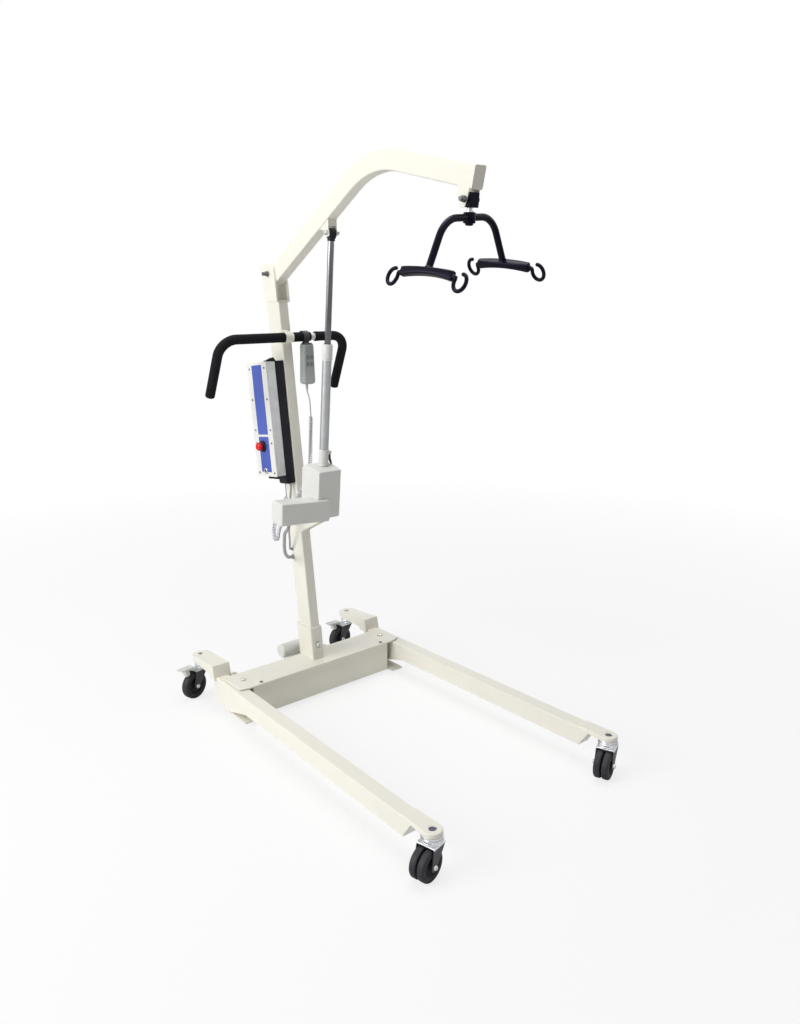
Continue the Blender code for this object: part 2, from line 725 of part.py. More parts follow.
def rear_arm():
    half = ARM_WIDTH / 2
    centre = (LEG_OFFSET, REAR_CASTER_Y)
    outline = [(LEG_OFFSET - half, ARM_FRONT_LOW_Y - 0.02), (LEG_OFFSET + half, ARM_FRONT_LOW_Y - 0.02)]
    outline += arc(centre, ARM_ROUND_RADIUS, 0, 180, 10)
    plan = prism(outline, LEG_TOP_Z - 0.02, ARM_TOP_FRONT_Z + 0.02, 'z')
    end_y = REAR_CASTER_Y + ARM_ROUND_RADIUS + 0.01
    side = [(ARM_FRONT_LOW_Y, LEG_TOP_Z - 0.008), (ARM_FRONT_TOP_Y, ARM_TOP_FRONT_Z),
            (end_y, ARM_TOP_REAR_Z), (end_y, ARM_UNDERSIDE_Z + 0.001),
            (0.195, ARM_UNDERSIDE_Z - 0.001), (0.134, ARM_UNDERSIDE_Z - 0.003), (LEG_REAR_Y + 0.004, LEG_TOP_Z - 0.006)]
    body = prism(side, LEG_OFFSET - half - 0.01, LEG_OFFSET + half + 0.01, 'x')
    common(plan, [body])
    slope = (ARM_TOP_REAR_Z - ARM_TOP_FRONT_Z) / (end_y - ARM_FRONT_TOP_Y)
    hollow_low = LEG_TOP_Z + 0.001
    hollow_front = ARM_FRONT_TOP_Y + ARM_WALL + 0.002
    lid = ARM_TOP_FRONT_Z - ARM_WALL
    inside = [(hollow_front - 0.004, hollow_low), (hollow_front, lid),
              (ARM_HOLLOW_END_Y, lid + slope * (ARM_HOLLOW_END_Y - hollow_front)),
              (ARM_HOLLOW_END_Y, LEG_BOTTOM_Z), (LEG_REAR_Y + 0.008, LEG_BOTTOM_Z),
              (LEG_REAR_Y + 0.008, hollow_low)]
    pocket = prism(inside, LEG_OFFSET - half + ARM_WALL, LEG_OFFSET + half - ARM_WALL, 'x')
    cut(plan, [pocket])
    return plan


def stem_cutter(along, low, step, high):
    """Stem hole with its wider recess above, as one turned cutter."""
    profile = [(0.0, low), (STEM_HOLE_RADIUS, low), (STEM_HOLE_RADIUS, step), (STEM_RECESS_RADIUS, step),
               (STEM_RECESS_RADIUS, high), (0.0, high)]
    return lathe(profile, (LEG_OFFSET, along, 0.0), (0, 0, 1), 16)


def build_leg(side, word, link_side, with_crank):
    leg = leg_shell()
    arm = rear_arm()
    tongue_low = TONGUE_TOP_Z - TONGUE_THICKNESS
    tongue_outline = [(LEG_OFFSET - LEG_WIDTH / 2 + 0.001, TONGUE_REAR_Y)]
    tongue_outline += arc((LEG_OFFSET, FRONT_CASTER_Y), TONGUE_RADIUS, 180, 360, 12)
    tongue_outline += [(LEG_OFFSET + LEG_WIDTH / 2 - 0.001, TONGUE_REAR_Y)]
    tongue = bevel(prism(tongue_outline, tongue_low, TONGUE_TOP_Z, 'z'), 0.0015, 1)
    lug_low = BOTTOM_PLATE_Z + PLATE_THICKNESS + LUG_GAP + 0.003
    lug_high = TOP_PLATE_Z - BOX_WALL - LUG_GAP - FIT_GAP
    lug_outline = arc((0.0, 0.0), LUG_RADIUS, 90, 270, 8)
    lug_outline += [(LEG_OFFSET - LEG_WIDTH / 2 + 0.002, -LUG_RADIUS),
                    (LEG_OFFSET - LEG_WIDTH / 2 + 0.002, LUG_RADIUS)]
    lug = prism(lug_outline, lug_low, lug_high, 'z')
    ear_centre = (0.0, link_side * LINK_PIN_REACH)
    if link_side < 0:
        ear_outline = arc(ear_centre, LINK_EAR_RADIUS, 180, 360, 6) + [(LINK_EAR_RADIUS, 0.0), (-LINK_EAR_RADIUS, 0.0)]
    else:
        ear_outline = arc(ear_centre, LINK_EAR_RADIUS, 0, 180, 6) + [(-LINK_EAR_RADIUS, 0.0), (LINK_EAR_RADIUS, 0.0)]
    ear = prism(ear_outline, LINK_EAR_Z, LINK_EAR_Z + LINK_EAR_THICKNESS, 'z')
    pin_low = LINK_EAR_Z + LINK_EAR_THICKNESS - SEAM_OVERLAP
    pin = rod_between((0.0, ear_centre[1], pin_low), (0.0, ear_centre[1], pin_low + LINK_THICKNESS + 0.004),
                      LINK_PIN_RADIUS)
    pieces = [arm, tongue, lug, ear, pin]
    if with_crank:
        for low in (DRIVE_Z - CRANK_GAP / 2 - CRANK_THICKNESS, DRIVE_Z + CRANK_GAP / 2):
            outline = arc((-CRANK_INBOARD, DRIVE_Y), 0.0115, 90, 270, 8)
            outline += [(LEG_OFFSET - LEG_WIDTH / 2 + 0.002, DRIVE_Y - 0.016),
                        (LEG_OFFSET - LEG_WIDTH / 2 + 0.002, DRIVE_Y + 0.004)]
            pieces.append(prism(outline, low, low + CRANK_THICKNESS, 'z'))
        pieces.append(rod_between((-CRANK_INBOARD, DRIVE_Y, DRIVE_Z - CRANK_GAP / 2 - CRANK_THICKNESS - 0.003),
                                  (-CRANK_INBOARD, DRIVE_Y, DRIVE_Z + CRANK_GAP / 2 + CRANK_THICKNESS + 0.003),
                                  CRANK_PIN_RADIUS))
    union(leg, pieces)
    arm_top = ARM_TOP_REAR_Z + 0.01
    cutters = [
        rod_between((0, 0, lug_low - 0.01), (0, 0, lug_high + 0.01), PIVOT_RADIUS + PIN_GAP),
        stem_cutter(FRONT_CASTER_Y, tongue_low - 0.01, TONGUE_TOP_Z - STEM_RECESS_DEPTH, TONGUE_TOP_Z + 0.01),
        stem_cutter(REAR_CASTER_Y, ARM_UNDERSIDE_Z - 0.02, ARM_SOCKET_Z, arm_top + 0.01),
    ]
    cut(leg, cutters)
    turn = Matrix.Rotation(LEG_SPREAD, 4, 'Z')
    mirror = Matrix.Scale(side, 4, (1.0, 0.0, 0.0))
    move(leg, mirror @ Matrix.Translation((PIVOT_X, 0.0, 0.0)) @ turn)
    finish(leg, 'leg_' + word, 'cream', (side * PIVOT_X, 0.0, LEG_TOP_Z))


def leg_point(side, across, along, height):
    """World place of a point given in the leg's own frame at rest."""
    cosine, sine = math.cos(LEG_SPREAD), math.sin(LEG_SPREAD)
    x = PIVOT_X + across * cosine - along * sine
    y = across * sine + along * cosine
    return Vector((side * x, y, height))


def wheel_profile(radius, width):
    half = width / 2
    return [(WHEEL_BORE_RADIUS, -half), (0.013, -half), (radius - 0.015, -half + 0.0025), (radius - 0.0045, -half),
            (radius, -half + 0.005), (radius, half - 0.005), (radius - 0.0045, half), (radius - 0.015, half - 0.0025),
            (0.013, half), (WHEEL_BORE_RADIUS, half)]


def build_fork(place, angle, name, radius, trail, cheek_inner, plate, bearing, head_seat, with_pedal):
    """Swivel fork in its own frame: +x trails and y is the axle."""
    plate_low, plate_length = plate
    bearing_radius, bearing_top = bearing
    plate_top = plate_low + FORK_PLATE_THICKNESS
    cheek_outer = cheek_inner + FORK_CHEEK_THICKNESS
    rear = trail + 0.003
    axle_z = FLOOR_Z + radius
    body = bevel(block(rear - plate_length, rear, -cheek_outer, cheek_outer, plate_low, plate_top), 0.0012, 1)
    others = []
    for side in (-1, 1):
        outline = [(rear - plate_length + 0.003, plate_low + 0.003), (rear - 0.001, plate_low + 0.003)]
        outline += list(reversed(arc((trail, axle_z), 0.013, 180, 350, 6)))
        low = cheek_inner if side > 0 else -cheek_outer
        others.append(prism(outline, low, low + FORK_CHEEK_THICKNESS, 'y'))
    reach = cheek_outer + AXLE_HEAD_HEIGHT
    others.append(rod_between((trail, -cheek_outer, axle_z), (trail, cheek_outer, axle_z), AXLE_RADIUS, 12))
    for sign in (-1, 1):
        start = (trail, sign * (cheek_outer - SEAM_OVERLAP), axle_z)
        others.append(hex_between(start, (trail, sign * reach, axle_z), AXLE_HEAD_RADIUS))
    stem_top = head_seat + 0.0035
    height = bearing_top - plate_top
    shank = STEM_HOLE_RADIUS - PIN_GAP
    head = STEM_RECESS_RADIUS - 0.0015
    profile = [(0.0, plate_top - SEAM_OVERLAP), (bearing_radius * 0.90, plate_top - SEAM_OVERLAP),
               (bearing_radius, plate_top + height * 0.20), (bearing_radius, plate_top + height * 0.48),
               (bearing_radius * 0.92, plate_top + height * 0.58), (bearing_radius * 0.94, bearing_top),
               (shank, bearing_top), (shank, head_seat), (head, head_seat), (head, stem_top), (0.0, stem_top)]
    others.append(lathe(profile, (0, 0, 0), (0, 0, 1), 16))
    if with_pedal:
        others.append(rod_between((PEDAL_PIVOT_X, -cheek_outer, PEDAL_PIVOT_Z),
                                  (PEDAL_PIVOT_X, cheek_outer, PEDAL_PIVOT_Z), PEDAL_PIN_RADIUS, 10))
        for side in (-1, 1):
            outline = [(rear - 0.022, plate_low + 0.001), (rear, plate_low + 0.001)]
            outline += arc((PEDAL_PIVOT_X, PEDAL_PIVOT_Z), 0.006, -60, 130, 4)
            low = cheek_inner if side > 0 else -cheek_outer
            others.append(prism(outline, low, low + FORK_CHEEK_THICKNESS, 'y'))
    union(body, others)
    matrix = Matrix.Translation(place) @ Matrix.Rotation(angle, 4, 'Z')
    move(body, matrix)
    finish(body, name, 'black_steel', place)
    return matrix


def build_wheel(matrix, name, radius, width, trail, across):
    centre = Vector((trail, across, FLOOR_Z + radius))
    wheel = lathe(wheel_profile(radius, width), centre, (0, 1, 0), WHEEL_SIDES)
    move(wheel, matrix)
    finish(wheel, name, 'tyre', matrix @ centre)


def build_casters():
    recess_floor = TONGUE_TOP_Z - STEM_RECESS_DEPTH
    bearing_top = TONGUE_TOP_Z - TONGUE_THICKNESS - FIT_GAP
    half_step = (FRONT_WHEEL_GAP + FRONT_WHEEL_WIDTH) / 2
    inner = half_step + FRONT_WHEEL_WIDTH / 2 + FRONT_SIDE_GAP
    for side, word, angle in ((-1, 'left', FRONT_TRAIL_LEFT), (1, 'right', FRONT_TRAIL_RIGHT)):
        spot = leg_point(side, LEG_OFFSET, FRONT_CASTER_Y, 0.0)
        matrix = build_fork(spot, angle, 'front_fork_' + word, FRONT_WHEEL_RADIUS, FRONT_TRAIL, inner,
                            (FRONT_PLATE_Z, FRONT_PLATE_LENGTH), (FRONT_BEARING_RADIUS, bearing_top),
                            recess_floor + FIT_GAP, False)
        for sign, label in ((-1, 'rear'), (1, 'front')):
            build_wheel(matrix, 'front_wheel_' + word + '_' + label, FRONT_WHEEL_RADIUS, FRONT_WHEEL_WIDTH,
                        FRONT_TRAIL, sign * half_step)
    bearing_top = ARM_UNDERSIDE_Z - 0.003 - FIT_GAP
    inner = REAR_SIDE_GAP + REAR_WHEEL_WIDTH / 2
    for side, word, angle in ((-1, 'left', REAR_TRAIL_LEFT), (1, 'right', REAR_TRAIL_RIGHT)):
        spot = leg_point(side, LEG_OFFSET, REAR_CASTER_Y, 0.0)
        matrix = build_fork(spot, angle, 'rear_fork_' + word, REAR_WHEEL_RADIUS, REAR_TRAIL, inner,
                            (REAR_PLATE_Z, REAR_PLATE_LENGTH), (REAR_BEARING_RADIUS, bearing_top),
                            ARM_SOCKET_Z + FIT_GAP, True)
        build_wheel(matrix, 'rear_wheel_' + word, REAR_WHEEL_RADIUS, REAR_WHEEL_WIDTH, REAR_TRAIL, 0.0)
        build_pedal(matrix, word)


def build_pedal(matrix, word):
    half = PEDAL_WIDTH / 2
    x, z = PEDAL_PIVOT_X, PEDAL_PIVOT_Z
    outline = [(x - 0.007, z - 0.004), (x + 0.006, z - 0.006), (x + 0.022, z + 0.002), (x + 0.058, z + 0.007),
               (x + 0.060, z + 0.010), (x + 0.056, z + 0.0110), (x + 0.018, z + 0.009), (x + 0.000, z + 0.007),
               (x - 0.008, z + 0.004)]
    pedal = bevel(prism(outline, -half, half, 'y'), 0.001, 1)
    pad = prism([(x + 0.020, z + 0.007), (x + 0.017, z - 0.019), (x + 0.030, z - 0.022), (x + 0.038, z + 0.009)],
                -0.010, 0.010, 'y')
    union(pedal, [pad])
    cut(pedal, [rod_between((x, -half - 0.01, z), (x, half + 0.01, z), PEDAL_PIN_RADIUS + PIN_GAP, 10)])
    move(pedal, matrix)
    finish(pedal, 'brake_pedal_' + word, 'pale_plastic', matrix @ Vector((x, 0, z)))


def build_mast():
    depth_centre = MAST_DEPTH / 2
    outer = shifted(rounded(MAST_WIDTH, MAST_DEPTH, MAST_CORNER), 0.0, depth_centre)
    inner = shifted(rounded(MAST_WIDTH - 2 * TUBE_WALL, MAST_DEPTH - 2 * TUBE_WALL, MAST_CORNER - TUBE_WALL), 0.0,
                    depth_centre)
    low = TOP_PLATE_Z + PLATE_THICKNESS + FIT_GAP
    loops = [mast_loop(outer, low), mast_loop(outer, MAST_TOP_Z - FIT_GAP),
             mast_loop(inner, MAST_TOP_Z - FIT_GAP), mast_loop(inner, low)]
    mast = skin(loops, ring=True)
    through = rod_between((0, -0.03, FOOT_BOLT_ALONG), (0, MAST_DEPTH + 0.03, FOOT_BOLT_ALONG),
                          FOOT_BOLT_RADIUS + PIN_GAP)
    cut(mast, [move(through, lean())])
    finish(mast, 'mast_tube', 'cream')

    wide = MAST_WIDTH + 2 * (FOOT_WALL + FIT_GAP)
    deep = MAST_DEPTH + 2 * (FOOT_WALL + FIT_GAP)
    outer = shifted(rounded(wide, deep, MAST_CORNER + 0.003), 0.0, depth_centre)
    inner = shifted(rounded(MAST_WIDTH + 2 * FIT_GAP, MAST_DEPTH + 2 * FIT_GAP, MAST_CORNER), 0.0, depth_centre)
    foot = skin([mast_loop(outer, low), mast_loop(outer, FOOT_TOP_Z), mast_loop(inner, FOOT_TOP_Z),
                 mast_loop(inner, low)], ring=True)
    front = -FOOT_WALL - FIT_GAP
    rear = MAST_DEPTH + FOOT_WALL + FIT_GAP
    nut_start = front - 0.003
    tip = nut_start - FOOT_NUT_HEIGHT - 0.007
    profile = [(0.0, tip), (FOOT_BOLT_RADIUS, tip), (FOOT_BOLT_RADIUS, nut_start), (FOOT_WASHER_RADIUS, nut_start),
               (FOOT_WASHER_RADIUS, front + SEAM_OVERLAP), (FOOT_BOLT_RADIUS, front + SEAM_OVERLAP),
               (FOOT_BOLT_RADIUS, rear + 0.001), (0.0, rear + 0.001)]
    bolt = lathe(profile, (0, 0, FOOT_BOLT_ALONG), (0, 1, 0))
    nut = hex_between((0, nut_start + 0.0003, FOOT_BOLT_ALONG), (0, nut_start - FOOT_NUT_HEIGHT, FOOT_BOLT_ALONG),
                      FOOT_NUT_RADIUS)
    head = hex_between((0, rear - SEAM_OVERLAP, FOOT_BOLT_ALONG), (0, rear + 0.008, FOOT_BOLT_ALONG), FOOT_NUT_RADIUS)
    union(foot, [move(bolt, lean()), move(nut, lean()), move(head, lean())])
    finish(foot, 'mast_foot', 'cream')

    front = mast_front(MAST_TOP_Z)
    rear = front + MAST_DEPTH / math.cos(MAST_LEAN)
    half = BOOM_WIDTH / 2 + PIN_GAP
    outline = [(-half - HEAD_CHEEK_THICKNESS, front - 0.002), (half + HEAD_CHEEK_THICKNESS, front - 0.002),
               (half + HEAD_CHEEK_THICKNESS, rear + 0.002), (-half - HEAD_CHEEK_THICKNESS, rear + 0.002)]
    fork = prism(outline, MAST_TOP_Z, MAST_TOP_Z + HEAD_PLATE_THICKNESS, 'z')
    tangent = math.tan(MAST_LEAN)
    rise = HEAD_TOP_Z - MAST_TOP_Z
    pivot_y, pivot_z = BOOM_PIVOT
    cheeks = []
    for sign in (-1, 1):
        profile = [(front - 0.002, MAST_TOP_Z + 0.001), (rear + 0.002, MAST_TOP_Z + 0.001),
                   (rear + 0.002 + (rise - 0.020) * tangent, HEAD_TOP_Z - 0.020)]
        profile += arc((rear - 0.012 + (rise - 0.014) * tangent, HEAD_TOP_Z - 0.014), 0.014, 10, 90, 4)
        profile += arc((pivot_y - 0.012, HEAD_TOP_Z - 0.024), 0.024, 90, 165, 5)
        profile += [(front - 0.002 + 0.055 * tangent, MAST_TOP_Z + 0.055)]
        low_x = half if sign > 0 else -half - HEAD_CHEEK_THICKNESS
        cheeks.append(prism(profile, low_x, low_x + HEAD_CHEEK_THICKNESS, 'x'))
    union(fork, cheeks)
    cut(fork, [rod_between((-0.06, pivot_y, pivot_z), (0.06, pivot_y, pivot_z), BOOM_PIVOT_RADIUS + PIN_GAP)])
    finish(fork, 'mast_head_fork', 'cream')

    face = half + HEAD_CHEEK_THICKNESS + FIT_GAP
    bolt = rod_between((-BOOM_BOLT_REACH, pivot_y, pivot_z), (face + 0.002, pivot_y, pivot_z), BOOM_PIVOT_RADIUS)
    nut = hex_between((-face, pivot_y, pivot_z), (-face - 0.009, pivot_y, pivot_z), BOOM_PIVOT_HEAD)
    head = hex_between((face, pivot_y, pivot_z), (face + 0.010, pivot_y, pivot_z), BOOM_PIVOT_HEAD)
    union(bolt, [head, nut])
    finish(bolt, 'boom_pivot_bolt', 'zinc')


def boom_direction(slope):
    return Vector((0.0, -math.cos(slope), math.sin(slope)))


def build_boom():
    corner = Vector((0.0, BOOM_CORNER[0], BOOM_CORNER[1]))
    rear_way = boom_direction(BOOM_REAR_SLOPE)
    front_way = boom_direction(BOOM_FRONT_SLOPE)
    start = corner - rear_way * BOOM_REAR_LENGTH
    end = corner + front_way * BOOM_FRONT_LENGTH
    path = round_path([start, corner, end], BOOM_BEND_RADIUS, 7)
    section = rounded(BOOM_WIDTH, BOOM_HEIGHT, 0.005, 2)
    bore = rounded(BOOM_WIDTH - 2 * TUBE_WALL, BOOM_HEIGHT - 2 * TUBE_WALL, 0.002, 2)
    outer = swept_loops(path, section, (1, 0, 0))
    inner_path = path[:-1] + [end - front_way * TUBE_WALL]
    inner = swept_loops(inner_path, bore, (1, 0, 0))
    boom = skin(list(reversed(outer)) + inner)
    face = BOOM_WIDTH / 2
    ears = []
    pivot_y, pivot_z = HANGER_PIVOT
    for sign in (-1, 1):
        outline = [(end.y + 0.0125, end.z - 0.022), (pivot_y - 0.001, EAR_BOTTOM_Z + 0.001),
                   (pivot_y + 0.012, EAR_BOTTOM_Z), (pivot_y + 0.026, EAR_BOTTOM_Z + 0.022),
                   (pivot_y + 0.030, pivot_z + 0.046)]
        low = face - EAR_THICKNESS if sign > 0 else -face
        ears.append(prism(outline, low, low + EAR_THICKNESS, 'x'))
    union(boom, ears)
    boom_y, boom_z = BOOM_PIVOT
    heel = corner - rear_way * (BOOM_REAR_LENGTH + 0.004) - Vector((0.0, math.sin(BOOM_REAR_SLOPE),
                                                                    math.cos(BOOM_REAR_SLOPE))) * 0.034
    across = Vector((0.0, math.sin(BOOM_REAR_SLOPE), math.cos(BOOM_REAR_SLOPE)))
    reach = heel + rear_way * 0.021
    lift = heel + across * 0.021
    wedge = prism([(heel.y, heel.z), (reach.y, reach.z), (lift.y, lift.z)], -face - 0.01, face + 0.01, 'x')
    cut(boom, [wedge, rod_between((-0.05, boom_y, boom_z), (0.05, boom_y, boom_z), BOOM_PIVOT_RADIUS + PIN_GAP),
               rod_between((-0.05, pivot_y, pivot_z), (0.05, pivot_y, pivot_z), HANGER_PIN_RADIUS + PIN_GAP)])
    finish(boom, 'boom_tube', 'cream', (0.0, boom_y, boom_z))

    top_y, top_z = TOP_PIVOT
    up = Vector((0.0, math.sin(BOOM_REAR_SLOPE), math.cos(BOOM_REAR_SLOPE)))
    under = BOOM_HEIGHT / 2 + FIT_GAP

    def below(y, gap=0.0):
        """Height of the boom's underside over one y, less a gap."""
        base = corner - up * (under + gap)
        return base.z - (y - base.y) * math.tan(BOOM_REAR_SLOPE)

    front_y = BRACKET_FRONT_Y
    rear_y = top_y + 0.026
    half = BRACKET_HALF_WIDTH
    profile = [(front_y, below(front_y)), (rear_y + 0.018, below(rear_y + 0.018)), (rear_y + 0.004, top_z + 0.010)]
    profile += arc((top_y + 0.001, top_z), 0.0135, 10, -150, 7)
    profile += [(front_y, top_z + 0.012)]
    solid = prism(profile, -half, half, 'x')
    gap_half = half - BRACKET_CHEEK_THICKNESS
    slot = prism([(front_y + 0.0035, BRACKET_WEB_Z + 0.050), (rear_y + 0.06, BRACKET_WEB_Z + 0.050),
                  (rear_y + 0.06, top_z - 0.05), (front_y - 0.03, top_z - 0.05),
                  (front_y - 0.03, BRACKET_WEB_Z), (front_y + 0.0035, BRACKET_WEB_Z)],
                 -gap_half, gap_half, 'x')
    cut(solid, [slot])
    heads = []
    for sign in (-1, 1):
        start = (sign * (half - SEAM_OVERLAP), top_y, top_z)
        heads.append(hex_between(start, (sign * (half + BRACKET_BOLT_HEIGHT), top_y, top_z), BRACKET_BOLT_RADIUS))
    union(solid, heads)
    finish(solid, 'boom_actuator_bracket', 'cream', (0.0, boom_y, boom_z))

    reach = face + FIT_GAP
    bolt = rod_between((-HANGER_BOLT_REACH, pivot_y, pivot_z), (reach + 0.002, pivot_y, pivot_z), HANGER_PIN_RADIUS)
    nut = hex_between((-reach, pivot_y, pivot_z), (-reach - 0.010, pivot_y, pivot_z), HANGER_BOLT_HEAD)
    head = hex_between((reach, pivot_y, pivot_z), (reach + 0.008, pivot_y, pivot_z), HANGER_BOLT_HEAD)
    union(bolt, [head, nut])
    finish(bolt, 'hanger_bolt', 'zinc', (0.0, boom_y, boom_z))


def hanger_frame():
    """Frame of the hanger block about its bolt, and the frame of the swivel that hangs from it."""
    block_frame = Matrix.Translation((0.0, HANGER_PIVOT[0], HANGER_PIVOT[1])) @ Matrix.Rotation(HANG_PITCH, 4, 'X')
    return block_frame, block_frame @ Matrix.Rotation(HANG_ROLL, 4, 'Y')


def build_hanger():
    block_frame, swivel_frame = hanger_frame()
    deep = HANGER_HALF_DEPTH
    outline = [(-deep, HANGER_BOTTOM), (deep, HANGER_BOTTOM), (deep, HANGER_TOP - 0.008), (deep - 0.008, HANGER_TOP),
               (-deep + 0.001, HANGER_TOP), (-deep, HANGER_TOP - 0.001)]
    hanger = bevel(prism(outline, -HANGER_HALF_WIDTH, HANGER_HALF_WIDTH, 'x'), 0.001, 1)
    move(hanger, block_frame)
    pin = SWIVEL_RADIUS
    profile = [(0.0, HANGER_BOTTOM + 0.004), (pin, HANGER_BOTTOM + 0.004), (pin, HUB_TOP + 0.004),
               (0.010, HUB_TOP + 0.004), (0.010, HUB_TOP + FIT_GAP), (pin, HUB_TOP + FIT_GAP),
               (pin, HUB_BOTTOM - FIT_GAP), (0.011, HUB_BOTTOM - FIT_GAP), (0.011, HUB_BOTTOM - 0.004),
               (0.007, HUB_BOTTOM - 0.006), (0.0, HUB_BOTTOM - 0.006)]
    stem = lathe(profile, (0, 0, 0), (0, 0, 1), 16)
    move(stem, swivel_frame)
    bore = rod_between((-0.05, 0, 0), (0.05, 0, 0), HANGER_PIN_RADIUS + PIN_GAP)
    move(bore, block_frame)
    union(hanger, [stem])
    cut(hanger, [bore])
    finish(hanger, 'hanger_block', 'black_steel', block_frame.translation)


def build_spreader():
    swivel_frame = hanger_frame()[1] @ Matrix.Rotation(HANG_YAW, 4, 'Z')
    origin = swivel_frame @ Vector((0.0, 0.0, HUB_TOP))
    down = Vector((HOOK_BAR_X - SPREADER_BEND_X, 0.0, -HOOK_BAR_DROP)).normalized()
    bar_z = SPREADER_TOP - HOOK_BAR_DROP
    right_end = Vector((HOOK_BAR_X, 0.0, bar_z)) + down * 0.001
    left_end = Vector((-right_end.x, 0.0, right_end.z))
    path = round_path([left_end, (-SPREADER_BEND_X, 0.0, SPREADER_TOP), (SPREADER_BEND_X, 0.0, SPREADER_TOP),
                       right_end], SPREADER_BEND_RADIUS, 6)
    tube = round_tube(path, SPREADER_TUBE_RADIUS, 10)
    profile = [(0.0, HUB_BOTTOM), (HUB_RADIUS - 0.002, HUB_BOTTOM), (HUB_RADIUS, HUB_BOTTOM + 0.002),
               (HUB_RADIUS, HUB_TOP - 0.002), (HUB_RADIUS - 0.002, HUB_TOP), (0.0, HUB_TOP)]
    hub = lathe(profile, (0, 0, 0), (0, 0, 1), 20)
    union(tube, [hub])
    cut(tube, [rod_between((0, 0, HUB_BOTTOM - 0.01), (0, 0, HUB_TOP + 0.01), SWIVEL_RADIUS + PIN_GAP, 16)])
    move(tube, swivel_frame)
    finish(tube, 'spreader_tube', 'black_steel', origin)

    for side, word in ((-1, 'left'), (1, 'right')):
        outward = Vector((side * down.x, 0.0, down.z))
        tilt = Matrix.Rotation(math.atan2(-outward.x, -outward.z), 4, 'Y')
        frame = swivel_frame @ Matrix.Translation((side * HOOK_BAR_X, 0.0, bar_z)) @ tilt
        steps = 8
        loops = []
        for index in range(steps + 1):
            share = -1.0 + 2.0 * index / steps
            bulge = share * share
            width = HOOK_BAR_WIDTH * (1.0 - 0.32 * bulge)
            thick = HOOK_BAR_MIDDLE + (HOOK_BAR_END - HOOK_BAR_MIDDLE) * bulge
            top = HOOK_BAR_MIDDLE / 2 - 0.0025 * bulge
            outline = shifted(rounded(width, thick, 0.0035, 1), 0.0, top - thick / 2)
            loops.append([Vector((a, share * HOOK_BAR_HALF_LENGTH, b)) for a, b in outline])
        bar = skin(loops)
        pieces = []
        for end in (-1, 1):
            points = [Vector((0.0, end * (HOOK_BAR_HALF_LENGTH - 0.008), -0.006))]
            for step in range(13):
                angle = math.radians(152 + step * 24.8)
                points.append(Vector((0.0, end * (HOOK_REACH + HOOK_RADIUS_Y * math.cos(angle)),
                                      -HOOK_DROP + HOOK_RADIUS_Z * math.sin(angle))))
            tip = points[-1] + (points[-1] - points[-2]).normalized() * 0.002
            pieces.append(round_tube(points, HOOK_ROD_RADIUS, 7))
            pieces.append(lathe([(0.0, -0.0058), (0.0048, -0.0032), (0.0048, 0.0032), (0.0, 0.0058)], tip, (1, 0, 0), 8))
        union(bar, pieces)
        depth = 0.001 + FIT_GAP
        cut(bar, [rod_between((0, 0, HOOK_BAR_MIDDLE), (0, 0, -depth), SPREADER_TUBE_RADIUS + FIT_GAP, 16)])
        move(bar, frame)
        finish(bar, 'hook_bar_' + word, 'black_steel', origin)


def actuator_frame():
    base = Vector((0.0, FOOT_PIVOT[0], FOOT_PIVOT[1]))
    top = Vector((0.0, TOP_PIVOT[0], TOP_PIVOT[1]))
    length = (top - base).length
    tilt = math.atan2(base.y - top.y, top.z - base.z)
    return Matrix.Translation(base) @ Matrix.Rotation(tilt, 4, 'X'), length


